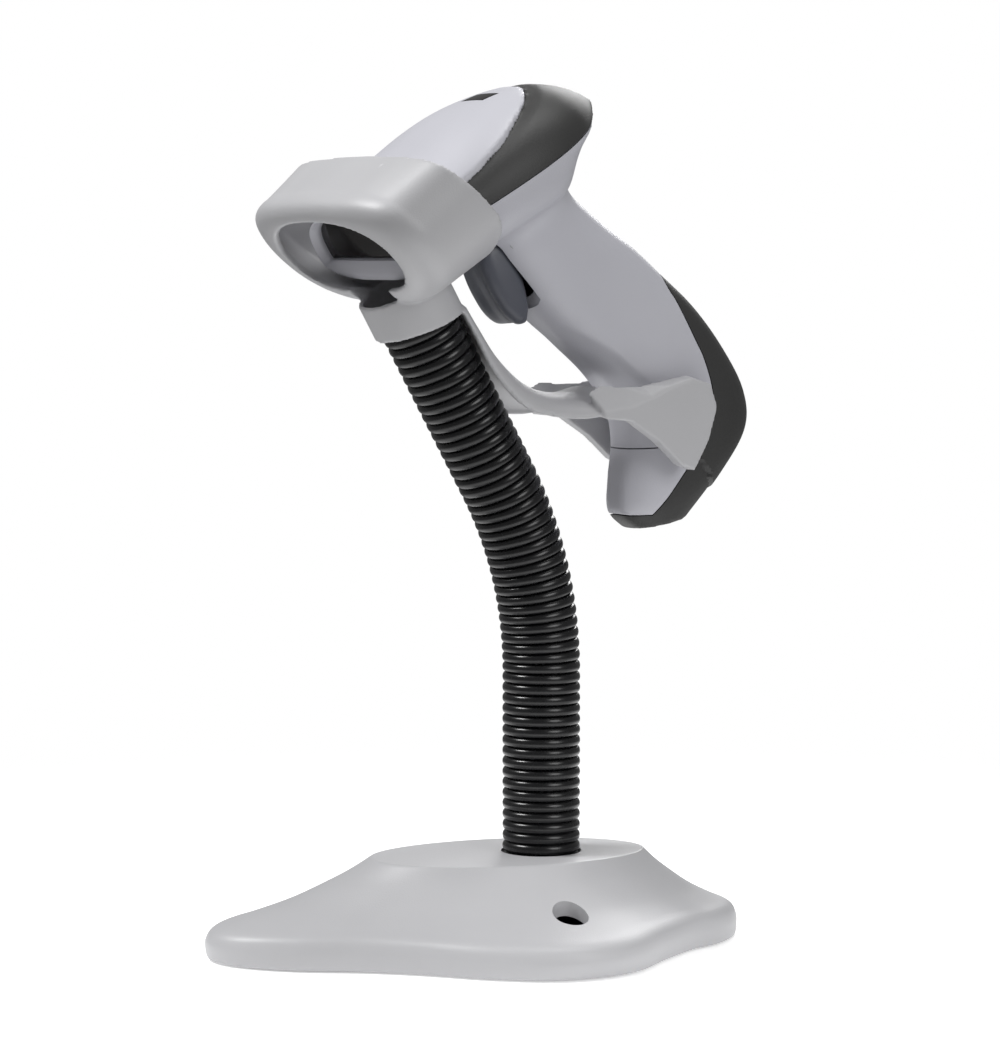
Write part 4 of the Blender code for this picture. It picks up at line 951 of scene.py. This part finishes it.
class BuildHolder(Operator):
    """Moulds hood, collar, arm and wings as one piece with soft inner corners"""
    bl_idname = "scanner_stand.holder"
    bl_label = "Holder"

    def execute(self, context):
        size = context.scene.scanner_holder
        holder = self.hood(size)
        self.collar(size, holder)
        join(holder, "UNION", self.arm(context.scene.scanner_body))
        rebuild(holder, size.grain)
        relax(holder, 5)
        modified(holder, "DECIMATE", ratio=HOLDER_DETAIL)
        plastic = moulded("holder_plastic", context.scene.scanner_base.colour, 0.43)
        finish_piece(holder, plastic, "holder", "holder_plastic", "holder_hood", "holder_arm",
                     sharp=60)
        return {"FINISHED"}

    def hood(self, size):
        wall = size.wall / MM
        back, front, mouth = (np.array(through(mirrored(half), 8, closed=True))
                              for half in (HOOD_BACK_OUTLINE, HOOD_FRONT_OUTLINE, MOUTH_OUTLINE))
        rim = size.rim / MM
        rings = []
        for step in range(RIM_STEPS + 1):
            turn = math.pi / 2 * step / RIM_STEPS
            share = math.sin(turn) ** 0.85
            rings.append(on_plane(mouth + (front - mouth) * share, HOOD_FRONT,
                                  rim * (1 - math.cos(turn)) ** 1.15))
        inner = drawn_in(front, wall)
        rings += [on_plane(back, HOOD_BACK, limit=HOOD_BACK_LIMIT),
                  on_plane(drawn_in(back, wall), HOOD_BACK, limit=HOOD_BACK_LIMIT),
                  on_plane(inner, HOOD_FRONT, rim),
                  on_plane(mouth + (inner - mouth) * 0.15, HOOD_FRONT, wall),
                  on_plane(mouth, HOOD_FRONT, wall * 0.7)]
        return loft("holder_moulding", rings, CRADLE, closed=True)

    def collar(self, size, holder):
        axis = CRADLE @ Matrix.Translation((0, -COLLAR_BACK * MM, 0))
        bore = NECK_DIAMETER / 2 / MM + ROOM
        outside = bore + size.collar_wall / MM
        join(holder, "UNION", rod("collar", outside, COLLAR_BOTTOM, COLLAR_TOP, axis))
        half = bore * 0.93
        outer = outside + 1
        under = [(-COLLAR_BACK - outer, COLLAR_FRONT), (-COLLAR_BACK + outer, COLLAR_BOTTOM),
                 (-COLLAR_BACK + outer, -FAR), (-COLLAR_BACK - outer, -FAR)]
        join(holder, "DIFFERENCE", prism("under_collar", under, -20, 20),
             rod("socket", bore, -FAR, COLLAR_FLOOR[0], axis),
             rod("cup", bore, COLLAR_FLOOR[1], COLLAR_TOP + 6, axis),
             rod("screw_way", SCREW_WAY, COLLAR_BOTTOM, 0, axis, 32),
             block("notch", (-half, -FAR, CUP_FRONT), (half, -COLLAR_BACK, CUP_TOP)),
             loft("head_way", head_rings(bpy.context.scene.scanner_body, -HEAD_ROOM), CRADLE))

    def arm(self, scanner):
        stations = through(ARM_STATIONS, 5)
        arm = loft("arm", [self.gutter(*station) for station in stations], CRADLE)
        inside = scanner.handle_width / 2 / MM + ROOM
        for side in (1, -1):
            wing = prism("wing", WING_SEAM, side * inside, side * WING_CREASE_AT,
                         far_outline=WING_CREASE)
            join(arm, "UNION", wing)
        join(arm, "DIFFERENCE", loft("handle_way", handle_rings(scanner, -ROOM), CRADLE))
        return arm

    def gutter(self, crown_s, crown_t, rim_s, rim_t, half):
        """A section hollow towards the neck: outer arc, then inner arc back."""
        depth = Vector((crown_s - rim_s, crown_t - rim_t))
        direction = depth.normalized()
        outer, inner = [], []
        for i in range(ARM_ARC + 1):
            angle = math.pi * (i / ARM_ARC - 0.5)
            x, rise = math.sin(angle), math.cos(angle)
            for arc, thickness in ((outer, 0), (inner, ARM_WALL)):
                reach = (depth.length - thickness) * rise
                arc.append(((half - thickness) * x * MM, (rim_s + direction.x * reach) * MM,
                            (rim_t + direction.y * reach) * MM))
        return outer + inner[::-1]


# ---- trigger
# Trigger stations: front s, t, back s, t, half width, depth of the finger groove.
TRIGGER_STATIONS = (
    (8.4, 2.2, 16.5, 2.4, 6.6, 0.2), (6.2, -1, 17.9, -0.5, 7.6, 1.0), (5.2, -7, 16.9, -7, 8, 1.8),
    (5.2, -13, 16.4, -12.5, 8, 2.2), (6, -18.2, 15.3, -16, 7.9, 1.9),
    (8, -22.2, 14.2, -18.8, 7.4, 1.2), (10.8, -23.6, 13.1, -20.8, 5.8, 0.2),
)
TRIGGER_POINTS = 72
TRIGGER_SQUARENESS = 3.4
TRIGGER_CELL = 0.35
# The finger groove's share of the trigger's width.
GROOVE_SHARE = 0.72


class BuildTrigger(Operator):
    """Sculpts the trigger with its finger groove between two raised rims"""
    bl_idname = "scanner_stand.trigger"
    bl_label = "Trigger"

    def execute(self, context):
        tone = context.scene.scanner_body.trigger_colour
        rings = [self.section(*row) for row in through(TRIGGER_STATIONS, 7)]
        trigger = loft("trigger_lever_form", rings, CRADLE)
        rebuild(trigger, TRIGGER_CELL * MM)
        relax(trigger, 4)
        finish_piece(trigger, moulded("trigger_plastic", tone, 0.36), "trigger_lever",
                     "trigger_plastic", "trigger", sharp=70)
        return {"FINISHED"}

    def section(self, front_s, front_t, back_s, back_t, half, groove):
        front, back = np.array((front_s, front_t)), np.array((back_s, back_t))
        middle, reach = (front + back) / 2, math.dist(front, back) / 2
        toward = (front - middle) / reach
        ring = []
        for i in range(TRIGGER_POINTS):
            angle = i / TRIGGER_POINTS * math.tau
            c, s = math.cos(angle), math.sin(angle)
            x = math.copysign(abs(c) ** (2 / TRIGGER_SQUARENESS), c)
            out = math.copysign(abs(s) ** (2 / TRIGGER_SQUARENESS), s) * reach
            if s > 0:
                out -= groove * (1 - min(abs(x) / GROOVE_SHARE, 1) ** 2) ** 1.5
            ring.append((x * half * MM, (middle[0] + toward[0] * out) * MM,
                         (middle[1] + toward[1] * out) * MM))
        return ring


# ---- carried CAD parts
class FinishInnerParts(Operator):
    """Gives the carried parts inside scanner, neck and base their own finishes"""
    bl_idname = "scanner_stand.inner_parts"
    bl_label = "Inner parts"

    def execute(self, context):
        finishes = {
            "black_plastic": moulded("inner_black", (0.018, 0.018, 0.018), 0.5),
            "rubber": rubber_sheet("pad_rubber"),
            "lens_glass": clear_glass("lens_glass"),
            "indicator_plastic": smoked_window("lamp_smoke"),
            "board": printed_board("board_green"),
            "brass": brushed("turned_brass", (0.72, 0.55, 0.27)),
            "steel": brushed("plated_steel", (0.58, 0.59, 0.6)),
        }
        slots = {part["node"]: part["material_slot"] for part in frame["record"]["subparts"]}
        for node, obj in frame["nodes"].items():
            if obj.hide_render:
                continue
            obj.data.materials.clear()
            obj.data.materials.append(finishes[slots[node]])
        return {"FINISHED"}


# ---- stage
TARGET = (-0.0057, -0.0102, 0.1174)
SENSOR = 36.0
AMBIENT = 0.2
BACKDROP = 1.0


class BuildStage(Operator):
    """Sets the pale floor, the soft studio lights and the camera"""
    bl_idname = "scanner_stand.stage"
    bl_label = "Stage"

    def execute(self, context):
        size = context.scene.scanner_stage
        self.camera(context, size)
        self.floor(size)
        self.world(context)
        target = Vector(TARGET)
        self.light("key_light", target, (-0.6, -0.95, 1.4), 0.6, 25)
        self.light("side_light", target, (1.2, 0.25, 0.55), 0.8, 6)
        self.light("top_light", target, (0.1, 0.3, 1.6), 0.9, 9)
        self.light("rim_light", target, (-1.0, 1.0, 0.7), 0.6, 6)
        return {"FINISHED"}

    def camera(self, context, size):
        data = bpy.data.cameras.new("camera")
        data.sensor_fit = "VERTICAL"
        data.sensor_height = SENSOR
        data.lens = size.lens
        data.clip_start = 0.01
        camera = new_object("camera", data)
        flat = math.cos(size.elevation)
        back = Vector((math.sin(size.azimuth) * flat, -math.cos(size.azimuth) * flat,
                       math.sin(size.elevation)))
        camera.location = Vector(TARGET) + back * size.distance
        camera.rotation_euler = back.to_track_quat("Z", "Y").to_euler()
        context.scene.camera = camera

    def floor(self, size):
        bm = bmesh.new()
        bmesh.ops.create_circle(bm, cap_ends=True, segments=96, radius=0.5)
        floor = from_bmesh("floor", bm)
        shader = Shader("floor_paint", Emission_Strength=0.35)
        tone = shader.noise(0.4)
        # The floor fades into the backdrop, so no horizon shows.
        edge = shader.node("ShaderNodeVectorMath", {"operation": "LENGTH"},
                           {0: shader.place()}, output=1)
        fade = shader.node("ShaderNodeMapRange", {"interpolation_type": "SMOOTHSTEP"},
                           {"Value": edge, "From Min": 0.1, "From Max": 0.4, "To Min": 1.0,
                            "To Max": 0.0})
        floor.data.materials.append(shader.drive(
            Alpha=fade,
            Base_Color=shader.mix(tone, [c * 0.99 for c in size.floor], size.floor),
            Emission_Color=shader.mix(tone, (0.98, 0.98, 0.98), (1, 1, 1)),
            Roughness=shader.between(tone, 0.75, 0.85)))

    def world(self, context):
        world = bpy.data.worlds.new("studio")
        world.use_nodes = True
        nodes, links = world.node_tree.nodes, world.node_tree.links
        background = nodes["Background"]
        background.inputs["Color"].default_value = (1, 1, 1, 1)
        # The backdrop shows white, but lights the stand less than that.
        ray = nodes.new("ShaderNodeLightPath")
        level = nodes.new("ShaderNodeMapRange")
        level.inputs["To Min"].default_value = AMBIENT
        level.inputs["To Max"].default_value = BACKDROP
        links.new(ray.outputs["Is Camera Ray"], level.inputs["Value"])
        links.new(level.outputs["Result"], background.inputs["Strength"])
        context.scene.world = world
        context.scene.view_settings.view_transform = "Standard"

    def light(self, name, target, offset, width, power):
        data = bpy.data.lights.new(name, "AREA")
        data.shape = "DISK"
        data.size = width
        data.energy = power
        light = new_object(name, data)
        light.location = target + Vector(offset)
        light.rotation_euler = Vector(offset).to_track_quat("Z", "Y").to_euler()


# ---- add-on
OPERATORS = (BuildBase, BuildNeck, BuildHolder, BuildHousings, BuildTrigger, FinishInnerParts,
             BuildStage)
SETTINGS = {"scanner_base": BaseSettings, "scanner_neck": NeckSettings,
            "scanner_holder": HolderSettings, "scanner_body": ScannerSettings,
            "scanner_stage": StageSettings}


class ScannerStandPanel(Panel):
    """Lists the pieces and their sizes"""
    bl_idname = "VIEW3D_PT_scanner_stand"
    bl_label = "Scanner stand"
    bl_space_type = "VIEW_3D"
    bl_region_type = "UI"
    bl_category = "Scanner stand"

    def draw(self, context):
        layout = self.layout
        for operator in OPERATORS:
            layout.operator(operator.bl_idname)
        for name in SETTINGS:
            box = layout.box()
            settings = getattr(context.scene, name)
            for prop in settings.bl_rna.properties:
                if prop.identifier not in ("name", "rna_type"):
                    box.prop(settings, prop.identifier)


def register():
    for cls in (*SETTINGS.values(), *OPERATORS, ScannerStandPanel):
        bpy.utils.register_class(cls)
    for name, cls in SETTINGS.items():
        setattr(bpy.types.Scene, name, PointerProperty(type=cls))


def unregister():
    for name in SETTINGS:
        delattr(bpy.types.Scene, name)
    for cls in (ScannerStandPanel, *reversed(OPERATORS), *reversed(SETTINGS.values())):
        bpy.utils.unregister_class(cls)


def main():
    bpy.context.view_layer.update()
    register()
    for operator in OPERATORS:
        group, name = operator.bl_idname.split(".")
        getattr(getattr(bpy.ops, group), name)()


if __name__ == "__main__":
    main()
